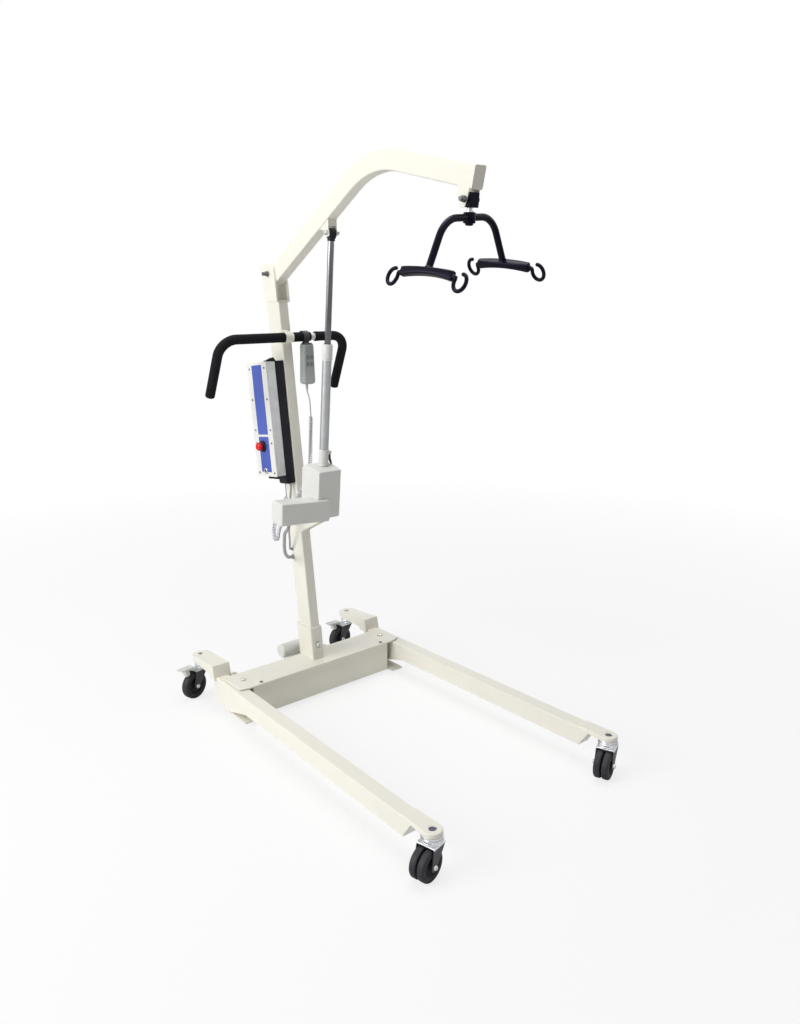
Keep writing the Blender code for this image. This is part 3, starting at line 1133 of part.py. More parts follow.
def build_actuator():
    frame, length = actuator_frame()
    origin = (0.0, FOOT_PIVOT[0], FOOT_PIVOT[1])
    outline = [(-GEAR_HALF_DEPTH, GEAR_START), (GEAR_HALF_DEPTH, GEAR_START), (GEAR_HALF_DEPTH, GEAR_REAR_END - 0.012),
               (GEAR_HALF_DEPTH - 0.014, GEAR_REAR_END), (-0.005, GEAR_REAR_END), (-GEAR_HALF_DEPTH, GEAR_FRONT_END)]
    gear = bevel(prism(outline, GEAR_LEFT_X, GEAR_RIGHT_X, 'x'), 0.0035, 2, 30)
    lug = prism(arc((0.0, 0.0), FOOT_LUG_RADIUS, 180, 360, 8) + [(FOOT_LUG_RADIUS + 0.003, GEAR_START + 0.004),
                                                                (-FOOT_LUG_RADIUS - 0.003, GEAR_START + 0.004)],
                -FOOT_LUG_HALF_WIDTH, FOOT_LUG_HALF_WIDTH, 'x')
    union(gear, [lug])
    cut(gear, [rod_between((-0.05, 0, 0), (0.05, 0, 0), FOOT_PIN_RADIUS + PIN_GAP),
               rod_between((0, 0, GEAR_BORE_END), (0, 0, GEAR_REAR_END + 0.02), TUBE_BORE_RADIUS, 18)])
    move(gear, frame)
    finish(gear, 'gear_housing', 'pale_plastic', origin)

    front = -GEAR_HALF_DEPTH - MOTOR_PROUD
    middle = (front + MOTOR_DEPTH / 2, MOTOR_START + MOTOR_HEIGHT / 2)
    centre_x = (MOTOR_END_X + GEAR_LEFT_X) / 2
    sizes = ((MOTOR_INNER_X, 0.004), (MOTOR_INNER_X - 0.002, 0.0), (MOTOR_END_X + 0.003, 0.0), (MOTOR_END_X, 0.005))
    loops = []
    for x, less in sizes:
        outline = rounded(MOTOR_DEPTH - less, MOTOR_HEIGHT - less, MOTOR_CORNER - less / 3, 2)
        rise = (centre_x - x) * math.tan(MOTOR_TILT)
        loops.append([Vector((x, a, b)) for a, b in shifted(outline, middle[0], middle[1] + rise)])
    motor = skin(loops)
    room = GEAR_HALF_DEPTH + FIT_GAP
    cut(motor, [block(GEAR_LEFT_X - FIT_GAP, GEAR_RIGHT_X, -room, room, GEAR_START - 0.05, GEAR_REAR_END)])
    move(motor, frame)
    finish(motor, 'motor_housing', 'pale_plastic', origin)

    lower_end = TUBE_START - FIT_GAP
    profile = [(TUBE_BORE_RADIUS, LOWER_COLLAR_START), (LOWER_COLLAR_RADIUS + 0.0015, LOWER_COLLAR_START),
               (LOWER_COLLAR_RADIUS + 0.0015, LOWER_COLLAR_START + 0.008),
               (LOWER_COLLAR_RADIUS, LOWER_COLLAR_START + 0.010), (LOWER_COLLAR_RADIUS, lower_end),
               (TUBE_BORE_RADIUS, lower_end)]
    collar = lathe(profile, (0, 0, 0), (0, 0, 1), 18)
    lugs = []
    for low in (-0.0085, 0.0045):
        lugs.append(block(LOWER_COLLAR_RADIUS - 0.002, 0.0258, low, low + 0.004, 0.233, 0.244))
    pin = rod_between((0.0218, -0.0075, 0.2385), (0.0218, 0.0075, 0.2385), 0.0015, 8)
    union(collar, lugs + [pin])
    move(collar, frame)
    finish(collar, 'lower_collar', 'pale_plastic', origin)

    hinge = Vector((0.0218, 0.0, 0.2385))
    outline = arc((hinge.x, hinge.z), 0.004, 180, 0, 6)
    outline += [(0.0268, 0.219), (0.034, 0.1965), (0.031, 0.1955), (0.0228, 0.213)]
    lever = prism(outline, -0.0041, 0.0041, 'y')
    cut(lever, [rod_between((hinge.x, -0.01, hinge.z), (hinge.x, 0.01, hinge.z), 0.0018, 8)])
    move(lever, frame)
    finish(lever, 'release_lever', 'black_plastic', frame @ hinge)

    tube = lathe([(TUBE_BORE_RADIUS, TUBE_START), (TUBE_RADIUS, TUBE_START), (TUBE_RADIUS, TUBE_END),
                  (TUBE_BORE_RADIUS, TUBE_END)], (0, 0, 0), (0, 0, 1), 20)
    move(tube, frame)
    finish(tube, 'actuator_outer_tube', 'aluminium', origin)

    start = TUBE_END + FIT_GAP
    bore = ROD_RADIUS + PIN_GAP
    profile = [(bore, start), (UPPER_COLLAR_RADIUS, start), (UPPER_COLLAR_RADIUS, UPPER_COLLAR_END - 0.004),
               (UPPER_COLLAR_RADIUS - 0.003, UPPER_COLLAR_END), (bore, UPPER_COLLAR_END)]
    collar = lathe(profile, (0, 0, 0), (0, 0, 1), 20)
    move(collar, frame)
    finish(collar, 'upper_collar', 'pale_plastic', origin)

    eye_low = length - ROD_EYE_RADIUS - 0.012
    rod = lathe([(0.0, ROD_START), (ROD_RADIUS - 0.001, ROD_START), (ROD_RADIUS, ROD_START + 0.001),
                 (ROD_RADIUS, eye_low - FIT_GAP), (0.0, eye_low - FIT_GAP)], (0, 0, 0), (0, 0, 1), 18)
    move(rod, frame)
    top = (0.0, TOP_PIVOT[0], TOP_PIVOT[1])
    finish(rod, 'actuator_rod', 'steel', top)

    neck = ROD_RADIUS + 0.001
    eye = prism(arc((0.0, length), ROD_EYE_RADIUS, -40, 220, 10) + [(-neck, eye_low + 0.008), (neck, eye_low + 0.008)],
                -ROD_EYE_HALF_WIDTH, ROD_EYE_HALF_WIDTH, 'x')
    collar = lathe([(0.0, eye_low), (neck + 0.001, eye_low), (neck + 0.001, eye_low + 0.010), (0.0, eye_low + 0.010)],
                   (0, 0, 0), (0, 0, 1), 16)
    stub = BRACKET_HALF_WIDTH - BRACKET_CHEEK_THICKNESS - 0.0006
    pin = rod_between((-stub, 0, length), (stub, 0, length), 0.006)
    union(eye, [collar, pin])
    move(eye, frame)
    finish(eye, 'rod_end', 'black_plastic', top)

    y, z = FOOT_PIVOT
    wall_low, wall_high = 0.647, 0.742
    inner = FOOT_LUG_HALF_WIDTH + 0.001
    outer = inner + FOOT_CHEEK_THICKNESS
    gap = FIT_GAP + 0.0002
    back = [(mast_front(wall_low) - gap, wall_low), (mast_front(wall_high) - gap, wall_high),
            (mast_front(wall_high) - gap - 0.006, wall_high), (mast_front(wall_low) - gap - 0.006, wall_low)]
    bracket = prism(back, -0.0185, 0.0185, 'x')
    cheeks = []
    for sign in (-1, 1):
        outline = [(mast_front(wall_low) - gap - 0.001, wall_low)]
        outline += arc((y, z), FOOT_CHEEK_RADIUS, 250, 110, 6)
        outline += [(y + 0.040, z + 0.011), (mast_front(wall_high) - gap - 0.001, wall_high)]
        low = inner if sign > 0 else -outer
        cheeks.append(prism(outline, low, low + FOOT_CHEEK_THICKNESS, 'x'))
    union(bracket, cheeks)
    cut(bracket, [rod_between((-0.05, y, z), (0.05, y, z), FOOT_PIN_RADIUS + PIN_GAP)])
    finish(bracket, 'actuator_foot_bracket', 'cream')

    seat = outer + FIT_GAP
    head = FOOT_HEAD_RADIUS
    profile = [(0.0, -seat - 0.0060), (head - 0.001, -seat - 0.0060), (head, -seat - 0.005), (head, -seat),
               (FOOT_PIN_RADIUS, -seat), (FOOT_PIN_RADIUS, seat), (head, seat), (head, seat + 0.005),
               (head - 0.001, seat + 0.0060), (0.0, seat + 0.0060)]
    pin = lathe(profile, (0, y, z), (1, 0, 0), 14)
    finish(pin, 'actuator_foot_pin', 'black_steel')


def handle_path(sign, start_x, inset=0.0):
    corner = Vector((HANDLE_MIDDLE_X + sign * HANDLE_CORNER_X, HANDLE_Y, HANDLE_Z))
    end = Vector((HANDLE_MIDDLE_X + sign * HANDLE_END[0], HANDLE_END[1], HANDLE_END[2]))
    end = end - (end - corner).normalized() * inset
    return round_path([(start_x, HANDLE_Y, HANDLE_Z), corner, end], HANDLE_BEND_RADIUS, 5)


def build_handle():
    right = handle_path(1, 0.0, 0.006)
    left = handle_path(-1, 0.0, 0.006)
    path = list(reversed(left)) + right[1:]
    bar = round_tube(path, HANDLE_RADIUS, HANDLE_SIDES, HANDLE_RADIUS - 0.002)
    finish(bar, 'handle_bar', 'cream')
    bore = (HANDLE_RADIUS + FIT_GAP) / math.cos(math.pi / HANDLE_SIDES)
    for sign, word, start_x in ((-1, 'left', GRIP_LEFT_X), (1, 'right', BAND_END_X)):
        path = handle_path(sign, start_x)
        grip = round_tube(path, GRIP_RADIUS, 12)
        dome_at = path[-1]
        way = (path[-1] - path[-2]).normalized()
        dome = lathe([(0.0, -0.002), (GRIP_RADIUS * 0.975, -0.002), (GRIP_RADIUS * 0.80, 0.005), (0.0, 0.008)],
                     dome_at, way, 12)
        union(grip, [dome])
        hole = handle_path(sign, start_x - sign * 0.01, 0.006 - FIT_GAP)
        cut(grip, [round_tube(hole, bore, HANDLE_SIDES)])
        finish(grip, 'grip_' + word, 'foam')
    inner = ring_between((GRIP_INNER_X, HANDLE_Y, HANDLE_Z), (BAND_START_X, HANDLE_Y, HANDLE_Z), GRIP_RADIUS, bore, 12)
    finish(inner, 'grip_right_inner', 'foam')

    gap = FIT_GAP + 0.0002
    low, high = HANDLE_Z - 0.024, HANDLE_Z + 0.024
    profile = [(mast_front(low) - gap, low), (mast_front(high) - gap, high), (HANDLE_Y, HANDLE_Z + 0.0185)]
    profile += arc((HANDLE_Y, HANDLE_Z), 0.0185, 110, 250, 8)
    profile += [(HANDLE_Y, HANDLE_Z - 0.0185)]
    clamp = prism(profile, CLAMP_LEFT_X, CLAMP_RIGHT_X, 'x')
    cut(clamp, [rod_between((-0.05, HANDLE_Y, HANDLE_Z), (0.05, HANDLE_Y, HANDLE_Z), bore, 14)])
    finish(clamp, 'handle_clamp', 'cream')


def build_control_box():
    wall = CONTROL_WALL
    near = 0.0005
    deep = CONTROL_DEPTH
    low, high = CONTROL_LOW, CONTROL_HIGH
    inner_x = BATTERY_OUTER_X - FIT_GAP

    def slab(x_low, x_high, a_low, a_high, b_low, b_high):
        return block(x_low, x_high, a_low, a_high, b_low, b_high)

    housing = bevel(slab(BOX_FRONT_X, inner_x, near, deep, low, high), 0.002, 2, 60)
    cut(housing, [slab(BOX_FRONT_X - 0.01, inner_x - wall, near + wall, deep - wall, low + wall, high - wall)])
    move(housing, lean())
    finish(housing, 'control_box_housing', 'aluminium')

    panel = bevel(slab(BOX_PANEL_X, BOX_FRONT_X - FIT_GAP, near - 0.001, deep + 0.001, low - 0.001, high + 0.001),
                  0.0008, 1, 60)
    heads = []
    for along in (CONTROL_HIGH - 0.020, CONTROL_HIGH - 0.128, CONTROL_HIGH - 0.236, CONTROL_LOW + 0.118,
                  CONTROL_LOW + 0.012):
        for depth in (0.012, 0.112):
            heads.append(lathe([(0.0, 0.0), (0.0033, 0.0), (0.0024, 0.0020), (0.0, 0.0020)],
                               (BOX_PANEL_X + SEAM_OVERLAP, depth, along), (-1, 0, 0), 6))
    boss = lathe([(0.0, 0.0), (0.0165, 0.0), (0.0165, 0.003), (0.0150, 0.006), (0.0, 0.006)],
                 (BOX_PANEL_X + SEAM_OVERLAP, STOP_DEPTH, STOP_ALONG), (-1, 0, 0), 18)
    jack = lathe([(0.0, 0.0), (0.0095, 0.0), (0.0095, 0.004), (0.0085, 0.0055), (0.0055, 0.0055), (0.0055, 0.001),
                  (0.0, 0.001)], (BOX_PANEL_X + SEAM_OVERLAP, SOCKET_DEPTH, SOCKET_ALONG), (-1, 0, 0), 12)
    union(panel, heads + [boss, jack])
    cut(panel, [rod_between((BOX_PANEL_X - 0.02, STOP_DEPTH, STOP_ALONG), (BOX_PANEL_X + 0.01, STOP_DEPTH, STOP_ALONG),
                            0.0063)])
    move(panel, lean())
    finish(panel, 'control_box_panel', 'cream')

    base = BOX_PANEL_X - 0.0055 - STOP_TRAVEL_GAP
    profile = [(0.0, -STOP_TRAVEL_GAP - 0.009), (0.0055, -STOP_TRAVEL_GAP - 0.009), (0.0055, 0.0),
               (STOP_RADIUS - 0.001, 0.0), (STOP_RADIUS, 0.002), (STOP_RADIUS, STOP_HEIGHT * 0.6),
               (STOP_RADIUS * 0.86, STOP_HEIGHT * 0.88), (STOP_RADIUS * 0.5, STOP_HEIGHT), (0.0, STOP_HEIGHT)]
    stop = lathe(profile, (base, STOP_DEPTH, STOP_ALONG), (-1, 0, 0), 18)
    move(stop, lean())
    finish(stop, 'emergency_stop_button', 'red', lean() @ Vector((base, STOP_DEPTH, STOP_ALONG)))

    body = bevel(slab(BATTERY_OUTER_X, BATTERY_INNER_X, near + 0.003, deep - 0.004, BATTERY_LOW, high + 0.002),
                 0.003, 2, 60)
    wedge = prism([(BATTERY_OUTER_X - 0.034, high + 0.0012), (BATTERY_OUTER_X + 0.006, high + 0.0012),
                   (BATTERY_OUTER_X + 0.006, high + 0.0030), (BATTERY_OUTER_X - 0.0015, high + 0.0135),
                   (BATTERY_OUTER_X - 0.0055, high + 0.0135), (BATTERY_OUTER_X - 0.034, high + 0.0030)], 0.004, 0.020, 'y')
    slope = prism([(BATTERY_OUTER_X - 0.01, BATTERY_LOW - 0.01), (BATTERY_OUTER_X + 0.018, BATTERY_LOW - 0.01),
                   (BATTERY_OUTER_X - 0.01, BATTERY_LOW + 0.012)], near - 0.01, deep + 0.01, 'y')
    heel = slab(BATTERY_OUTER_X - 0.01, BATTERY_INNER_X + 0.01, BATTERY_PLUG_DEPTH, deep + 0.01, BATTERY_LOW - 0.01,
                BATTERY_LOW + BATTERY_PLUG_HEIGHT)
    union(body, [wedge])
    cut(body, [slope, heel])
    move(body, lean())
    finish(body, 'battery_pack', 'black_plastic')


def build_handset():
    loops = []
    levels = ((HANDSET_BOTTOM_Z, -0.016, 0.005), (HANDSET_BOTTOM_Z + 0.004, -0.004, 0.002),
              (HANDSET_BOTTOM_Z + 0.010, 0.0, 0.0), (HANDSET_TOP_Z - 0.010, 0.0, 0.0),
              (HANDSET_TOP_Z - 0.003, -0.004, 0.001), (HANDSET_TOP_Z, -0.012, 0.004))
    for level, narrower, thinner in levels:
        share = (level - HANDSET_BOTTOM_Z) / (HANDSET_TOP_Z - HANDSET_BOTTOM_Z)
        width = HANDSET_BOTTOM_WIDTH + (HANDSET_TOP_WIDTH - HANDSET_BOTTOM_WIDTH) * share + narrower
        depth = HANDSET_REAR_Y - HANDSET_FRONT_Y - 2 * thinner
        middle = (HANDSET_REAR_Y + HANDSET_FRONT_Y) / 2
        loops.append([Vector((HANDSET_X + a, middle + b, level)) for a, b in rounded(width, depth, 0.007, 2)])
    body = skin(loops)
    centre = (HANDLE_Y, HANDLE_Z)
    outer = arc(centre, GRIP_RADIUS + 0.0045, 248, 10, 14)
    inner = arc(centre, GRIP_RADIUS + 0.0006, 10, 248, 14)
    hook = prism(outer + inner, HANDSET_X - 0.011, HANDSET_X + 0.011, 'x')
    neck = prism([(HANDLE_Y - 0.0170, HANDSET_TOP_Z - 0.006), (HANDLE_Y - 0.0015, HANDSET_TOP_Z - 0.006),
                  (HANDLE_Y - 0.0015, HANDLE_Z - GRIP_RADIUS - 0.0015), (HANDLE_Y - 0.0100, HANDLE_Z - 0.0157),
                  (HANDLE_Y - 0.0165, HANDLE_Z - 0.0100)], HANDSET_X - 0.010, HANDSET_X + 0.010, 'x')
    gland = rod_between((HANDSET_X - 0.004, 0.084, HANDSET_BOTTOM_Z - 0.012),
                        (HANDSET_X - 0.004, 0.084, HANDSET_BOTTOM_Z + 0.003), 0.0045, 10)
    union(body, [neck, hook, gland])
    pockets = []
    spots = []
    for row in range(2):
        for column in range(2):
            x = HANDSET_X + (column - 0.5) * BUTTON_PITCH
            z = BUTTON_TOP_Z - row * BUTTON_PITCH * 1.4
            spots.append((row, column, x, z))
            outline = shifted(rounded(BUTTON_SIZE + 2 * FIT_GAP, BUTTON_SIZE + 2 * FIT_GAP, 0.0015, 1), x, z)
            pockets.append(prism(outline, HANDSET_FRONT_Y - 0.01, HANDSET_FRONT_Y + BUTTON_POCKET, 'y'))
    cut(body, pockets)
    finish(body, 'handset_body', 'grey_plastic')
    names = {(0, 0): 'boom_up', (0, 1): 'legs_open', (1, 0): 'boom_down', (1, 1): 'legs_close'}
    for row, column, x, z in spots:
        outline = shifted(rounded(BUTTON_SIZE, BUTTON_SIZE, 0.0013, 1), x, z)
        button = prism(outline, HANDSET_FRONT_Y - BUTTON_PROUD, HANDSET_FRONT_Y + BUTTON_POCKET - 0.0022, 'y')
        finish(button, 'button_' + names[(row, column)], 'black_plastic', (x, HANDSET_FRONT_Y, z))


def coil_points(knots, turns, per_turn):
    """Helix carried along a smooth route, easing out of and into the straight ends."""
    count = turns * per_turn + 1
    route, length = smooth_points(knots, count)
    axis = [numpy.array(p) for p in route]
    across = None
    points = []
    for index in range(count):
        before = axis[max(index - 1, 0)]
        after = axis[min(index + 1, count - 1)]
        tangent = (after - before) / numpy.linalg.norm(after - before)
        if across is None:
            guide = numpy.array((0.0, 1.0, 0.0))
        else:
            guide = across
        across = guide - tangent * guide.dot(tangent)
        across = across / numpy.linalg.norm(across)
        up = numpy.cross(tangent, across)
        angle = 2 * math.pi * index / per_turn
        ease = min(1.0, index / per_turn, (count - 1 - index) / per_turn)
        radius = COIL_RADIUS * ease
        points.append(axis[index] + across * (radius * math.cos(angle)) + up * (radius * math.sin(angle)))
    return points, length


def curve_object(points, radius, resolution):
    data = bpy.data.curves.new('cable', 'CURVE')
    data.dimensions = '3D'
    data.bevel_depth = radius
    data.bevel_resolution = resolution
    data.use_fill_caps = True
    spline = data.splines.new('POLY')
    spline.points.add(len(points) - 1)
    for index, point in enumerate(points):
        spline.points[index].co = (point[0], point[1], point[2], 1.0)
    item = bpy.data.objects.new('cable', data)
    bpy.context.collection.objects.link(item)
    graph = bpy.context.evaluated_depsgraph_get()
    mesh = bpy.data.meshes.new_from_object(item.evaluated_get(graph))
    bpy.data.objects.remove(item, do_unlink=True)
    solid = bpy.data.objects.new('cable', mesh)
    bpy.context.collection.objects.link(solid)
    builder = bmesh.new()
    builder.from_mesh(mesh)
    bmesh.ops.remove_doubles(builder, verts=builder.verts, dist=1e-6)
    bmesh.ops.recalc_face_normals(builder, faces=builder.faces)
    builder.to_mesh(mesh)
    builder.free()
    return solid


def self_gap(points, radius, per_turn):
    """Least free distance between strands that are at least half a turn apart."""
    cloud = numpy.array(points)
    least = 1.0
    for index in range(len(cloud) - per_turn // 2 - 1):
        rest = cloud[index + per_turn // 2 + 1:]
        distance = numpy.linalg.norm(rest - cloud[index], axis=1)
        least = min(least, float(distance.min()))
    return least - 2 * radius


def build_cables():
    bottom = Vector((HANDSET_X - 0.004, 0.084, HANDSET_BOTTOM_Z - 0.012 - FIT_GAP))
    lead_end = Vector((0.0620, 0.0800, 1.055))
    box_end = lean() @ Vector((-0.044, 0.036, BATTERY_LOW - END_GAP))
    tail_start = box_end + Vector((0.0, -0.0055, -0.045))
    knots = [lead_end, (0.0590, 0.0795, 0.990), (0.0480, 0.0680, 0.922), (0.0330, 0.0520, 0.880),
             (0.0060, 0.0330, 0.842), (-0.0300, 0.0190, 0.800), (-0.0680, 0.0150, 0.758),
             (-0.1000, 0.0165, 0.718), (-0.1195, 0.0205, 0.684), (-0.1262, 0.0240, 0.662),
             (-0.1272, 0.0252, 0.6490), (-0.1280, 0.0279, 0.6423), (-0.1299, 0.0343, 0.6396),
             (-0.1318, 0.0407, 0.6423), (-0.1326, 0.0434, 0.6490), (-0.1322, 0.0440, 0.662),
             (-0.1250, 0.0490, 0.686), (-0.1000, 0.0620, 0.712), (-0.0670, 0.0790, 0.740), tail_start]
    coil, length = coil_points(knots, COIL_TURNS, COIL_POINTS)
    print('curly cord axis %.3f m, pitch %.4f m' % (length, length / COIL_TURNS))
    print('least self gap of the curls %.4f m' % self_gap(coil[COIL_POINTS:-COIL_POINTS], CORD_RADIUS, COIL_POINTS))
    lead, lead_length = smooth_points([bottom, bottom + Vector((0.0, 0.0, -0.012)), (0.0600, 0.0815, 1.110), lead_end], 12)
    tail, tail_length = smooth_points([tail_start, tail_start.lerp(box_end, 0.5), box_end], 5)
    points = [tuple(p) for p in lead[:-1]] + [tuple(p) for p in coil] + [tuple(p) for p in tail[1:]]
    finish(curve_object(points, CORD_RADIUS, 1), 'handset_cord', 'cable')

    frame, length = actuator_frame()
    start = frame @ Vector((-0.150, -0.020, MOTOR_START - END_GAP))
    side = -MAST_WIDTH / 2 - END_GAP
    knots = [start, start + Vector((-0.001, 0.002, -0.020)), (-0.1520, -0.0600, 0.6850), (-0.1365, -0.0300, 0.6480),
             (-0.1185, 0.0000, 0.6120), (-0.0920, 0.0360, 0.5770), (-0.0600, 0.0720, 0.5500),
             (side - 0.015, mast_front(LIFT_CABLE_ENTRY_Z) + 0.068, LIFT_CABLE_ENTRY_Z + 0.002),
             (side, mast_front(LIFT_CABLE_ENTRY_Z) + 0.070, LIFT_CABLE_ENTRY_Z)]
    points, length = smooth_points(knots, 30)
    finish(curve_object(points, THICK_CABLE_RADIUS, 2), 'lift_motor_cable', 'cable')

    begin = lean() @ Vector((-0.034, 0.018, BATTERY_LOW - END_GAP))
    knots = [begin, begin + Vector((0.0, -0.0024, -0.020)), (-0.0562, 0.0620, 0.7091), (-0.0525, 0.0700, 0.6507),
             (-0.0380, 0.0900, 0.5960),
             (side - 0.010, mast_front(LEG_CABLE_ENTRY_Z) + 0.070, LEG_CABLE_ENTRY_Z + 0.003),
             (side, mast_front(LEG_CABLE_ENTRY_Z) + 0.072, LEG_CABLE_ENTRY_Z)]
    points, length = smooth_points(knots, 34)
    finish(curve_object(points, THIN_CABLE_RADIUS, 1), 'leg_drive_cable', 'cable')


def build_drive():
    wall = BOX_HALF_DEPTH + FIT_GAP
    eye = DRIVE_EYE_RADIUS
    x = DRIVE_PIVOT_X
    gap = CRANK_GAP / 2
    bracket = block(x - 0.016, x + 0.016, wall, wall + 0.005, DRIVE_Z - 0.022, DRIVE_Z + 0.020)
    pieces = []
    for low in (DRIVE_Z - gap - CRANK_THICKNESS, DRIVE_Z + gap):
        outline = [(x - eye, wall + 0.003), (x + eye, wall + 0.003)] + arc((x, DRIVE_Y), eye, 0, 180, 6)
        pieces.append(prism(outline, low, low + CRANK_THICKNESS, 'z'))
    pieces.append(rod_between((x, DRIVE_Y, DRIVE_Z - gap - CRANK_THICKNESS - 0.002),
                              (x, DRIVE_Y, DRIVE_Z + gap + CRANK_THICKNESS + 0.002), CRANK_PIN_RADIUS))
    union(bracket, pieces)
    finish(bracket, 'drive_bracket', 'cream')

    motor = lathe([(0.0, DRIVE_LEFT_X), (DRIVE_MOTOR_RADIUS - 0.004, DRIVE_LEFT_X),
                   (DRIVE_MOTOR_RADIUS, DRIVE_LEFT_X + 0.004), (DRIVE_MOTOR_RADIUS, DRIVE_RIGHT_X + 0.002),
                   (0.0, DRIVE_RIGHT_X + 0.002)], (0, DRIVE_MOTOR_Y, DRIVE_MOTOR_Z), (1, 0, 0), 16)
    tube = lathe([(DRIVE_ROD_RADIUS + PIN_GAP, DRIVE_LEFT_X + 0.010), (DRIVE_TUBE_RADIUS, DRIVE_LEFT_X + 0.010),
                  (DRIVE_TUBE_RADIUS, DRIVE_RIGHT_X + 0.002), (DRIVE_ROD_RADIUS + PIN_GAP, DRIVE_RIGHT_X + 0.002)],
                 (0, DRIVE_Y, DRIVE_Z), (1, 0, 0), 12)
    gearbox = bevel(block(DRIVE_RIGHT_X, DRIVE_RIGHT_X + 0.022, DRIVE_Y - 0.020, DRIVE_MOTOR_Y + 0.022,
                          DRIVE_Z - 0.020, DRIVE_MOTOR_Z + 0.022), 0.004, 1, 60)
    lug_outline = [(DRIVE_RIGHT_X + 0.020, DRIVE_Y - 0.009), (DRIVE_RIGHT_X + 0.020, DRIVE_Y + 0.009)]
    lug_outline = lug_outline[::-1] + arc((x, DRIVE_Y), 0.009, -90, 90, 8)
    lug = prism(lug_outline, DRIVE_Z - gap + 0.0015, DRIVE_Z + gap - 0.0015, 'z')
    rib = block(DRIVE_LEFT_X + 0.014, DRIVE_RIGHT_X + 0.001, DRIVE_Y + 0.002, DRIVE_MOTOR_Y - 0.004,
                DRIVE_Z + 0.007, DRIVE_MOTOR_Z - 0.008)
    union(motor, [gearbox, lug])
    union(motor, [tube, rib])
    cut(motor, [rod_between((x, DRIVE_Y, DRIVE_Z - 0.02), (x, DRIVE_Y, DRIVE_Z + 0.02), CRANK_PIN_RADIUS + PIN_GAP),
                rod_between((DRIVE_LEFT_X - 0.02, DRIVE_Y, DRIVE_Z), (DRIVE_RIGHT_X - 0.004, DRIVE_Y, DRIVE_Z),
                            DRIVE_ROD_RADIUS + PIN_GAP, 12)])
    finish(motor, 'drive_body', 'pale_plastic', (x, DRIVE_Y, DRIVE_Z))

    pin_at = leg_point(-1, -CRANK_INBOARD, DRIVE_Y, DRIVE_Z)
    eye_disc = rod_between(pin_at - Vector((0, 0, gap - 0.002)), pin_at + Vector((0, 0, gap - 0.002)),
                           DRIVE_EYE_RADIUS - 0.001, 14)
    inside = DRIVE_RIGHT_X - 0.060
    rod_start = Vector((pin_at.x + 0.006, DRIVE_Y, DRIVE_Z))
    shaft = rod_between(rod_start, (inside, DRIVE_Y, DRIVE_Z), DRIVE_ROD_RADIUS)
    union(eye_disc, [shaft])
    cut(eye_disc, [rod_between(pin_at - Vector((0, 0, 0.02)), pin_at + Vector((0, 0, 0.02)),
                               CRANK_PIN_RADIUS + OPEN_PIVOT_GAP)])
    finish(eye_disc, 'drive_rod', 'black_steel', (x, DRIVE_Y, DRIVE_Z))

    left = leg_point(-1, 0.0, -LINK_PIN_REACH, 0.0)
    right = leg_point(1, 0.0, LINK_PIN_REACH, 0.0)
    low = LINK_EAR_Z + LINK_EAR_THICKNESS + FIT_GAP
    span = right - left
    length = span.length
    half = LINK_WIDTH / 2
    outline = arc((0.0, 0.0), half, 90, 270, 6) + arc((length, 0.0), half, -90, 90, 6)
    link = prism(outline, low, low + LINK_THICKNESS, 'z')
    cut(link, [rod_between((0, 0, low - 0.01), (0, 0, low + 0.02), LINK_PIN_RADIUS + PIN_GAP),
               rod_between((length, 0, low - 0.01), (length, 0, low + 0.02), LINK_PIN_RADIUS + OPEN_PIVOT_GAP)])
    angle = math.atan2(span.y, span.x)
    move(link, Matrix.Translation((left.x, left.y, 0.0)) @ Matrix.Rotation(angle, 4, 'Z'))
    finish(link, 'cross_link', 'zinc', (left.x, left.y, low))


def settle_on_origin():
    """Moves the whole hoist so that its footprint is centred on the origin."""
    bpy.context.view_layer.update()
    low = Vector((1e9, 1e9, 1e9))
    high = -low
    for item in finished:
        for vertex in item.data.vertices:
            point = vertex.co + item.location
            for axis in range(3):
                low[axis] = min(low[axis], point[axis])
                high[axis] = max(high[axis], point[axis])
    shift = Vector((-(low.x + high.x) / 2, -(low.y + high.y) / 2, -low.z))
    for item in finished:
        item.location = item.location + shift
    print('shift %.6f %.6f %.6f' % tuple(shift))
    print('size %.4f %.4f %.4f' % tuple(high - low))


def main():
    clear_scene()
    build_base()
    build_leg(-1, 'left', -1, True)
    build_leg(1, 'right', 1, False)
    build_casters()
    build_mast()
    build_boom()
    build_hanger()
    build_spreader()
    build_actuator()
    build_handle()
    build_control_box()
    build_handset()
    build_cables()
    build_drive()
    settle_on_origin()


main()
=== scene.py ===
import json
import math

import bmesh
import bpy
from mathutils import Matrix, Vector

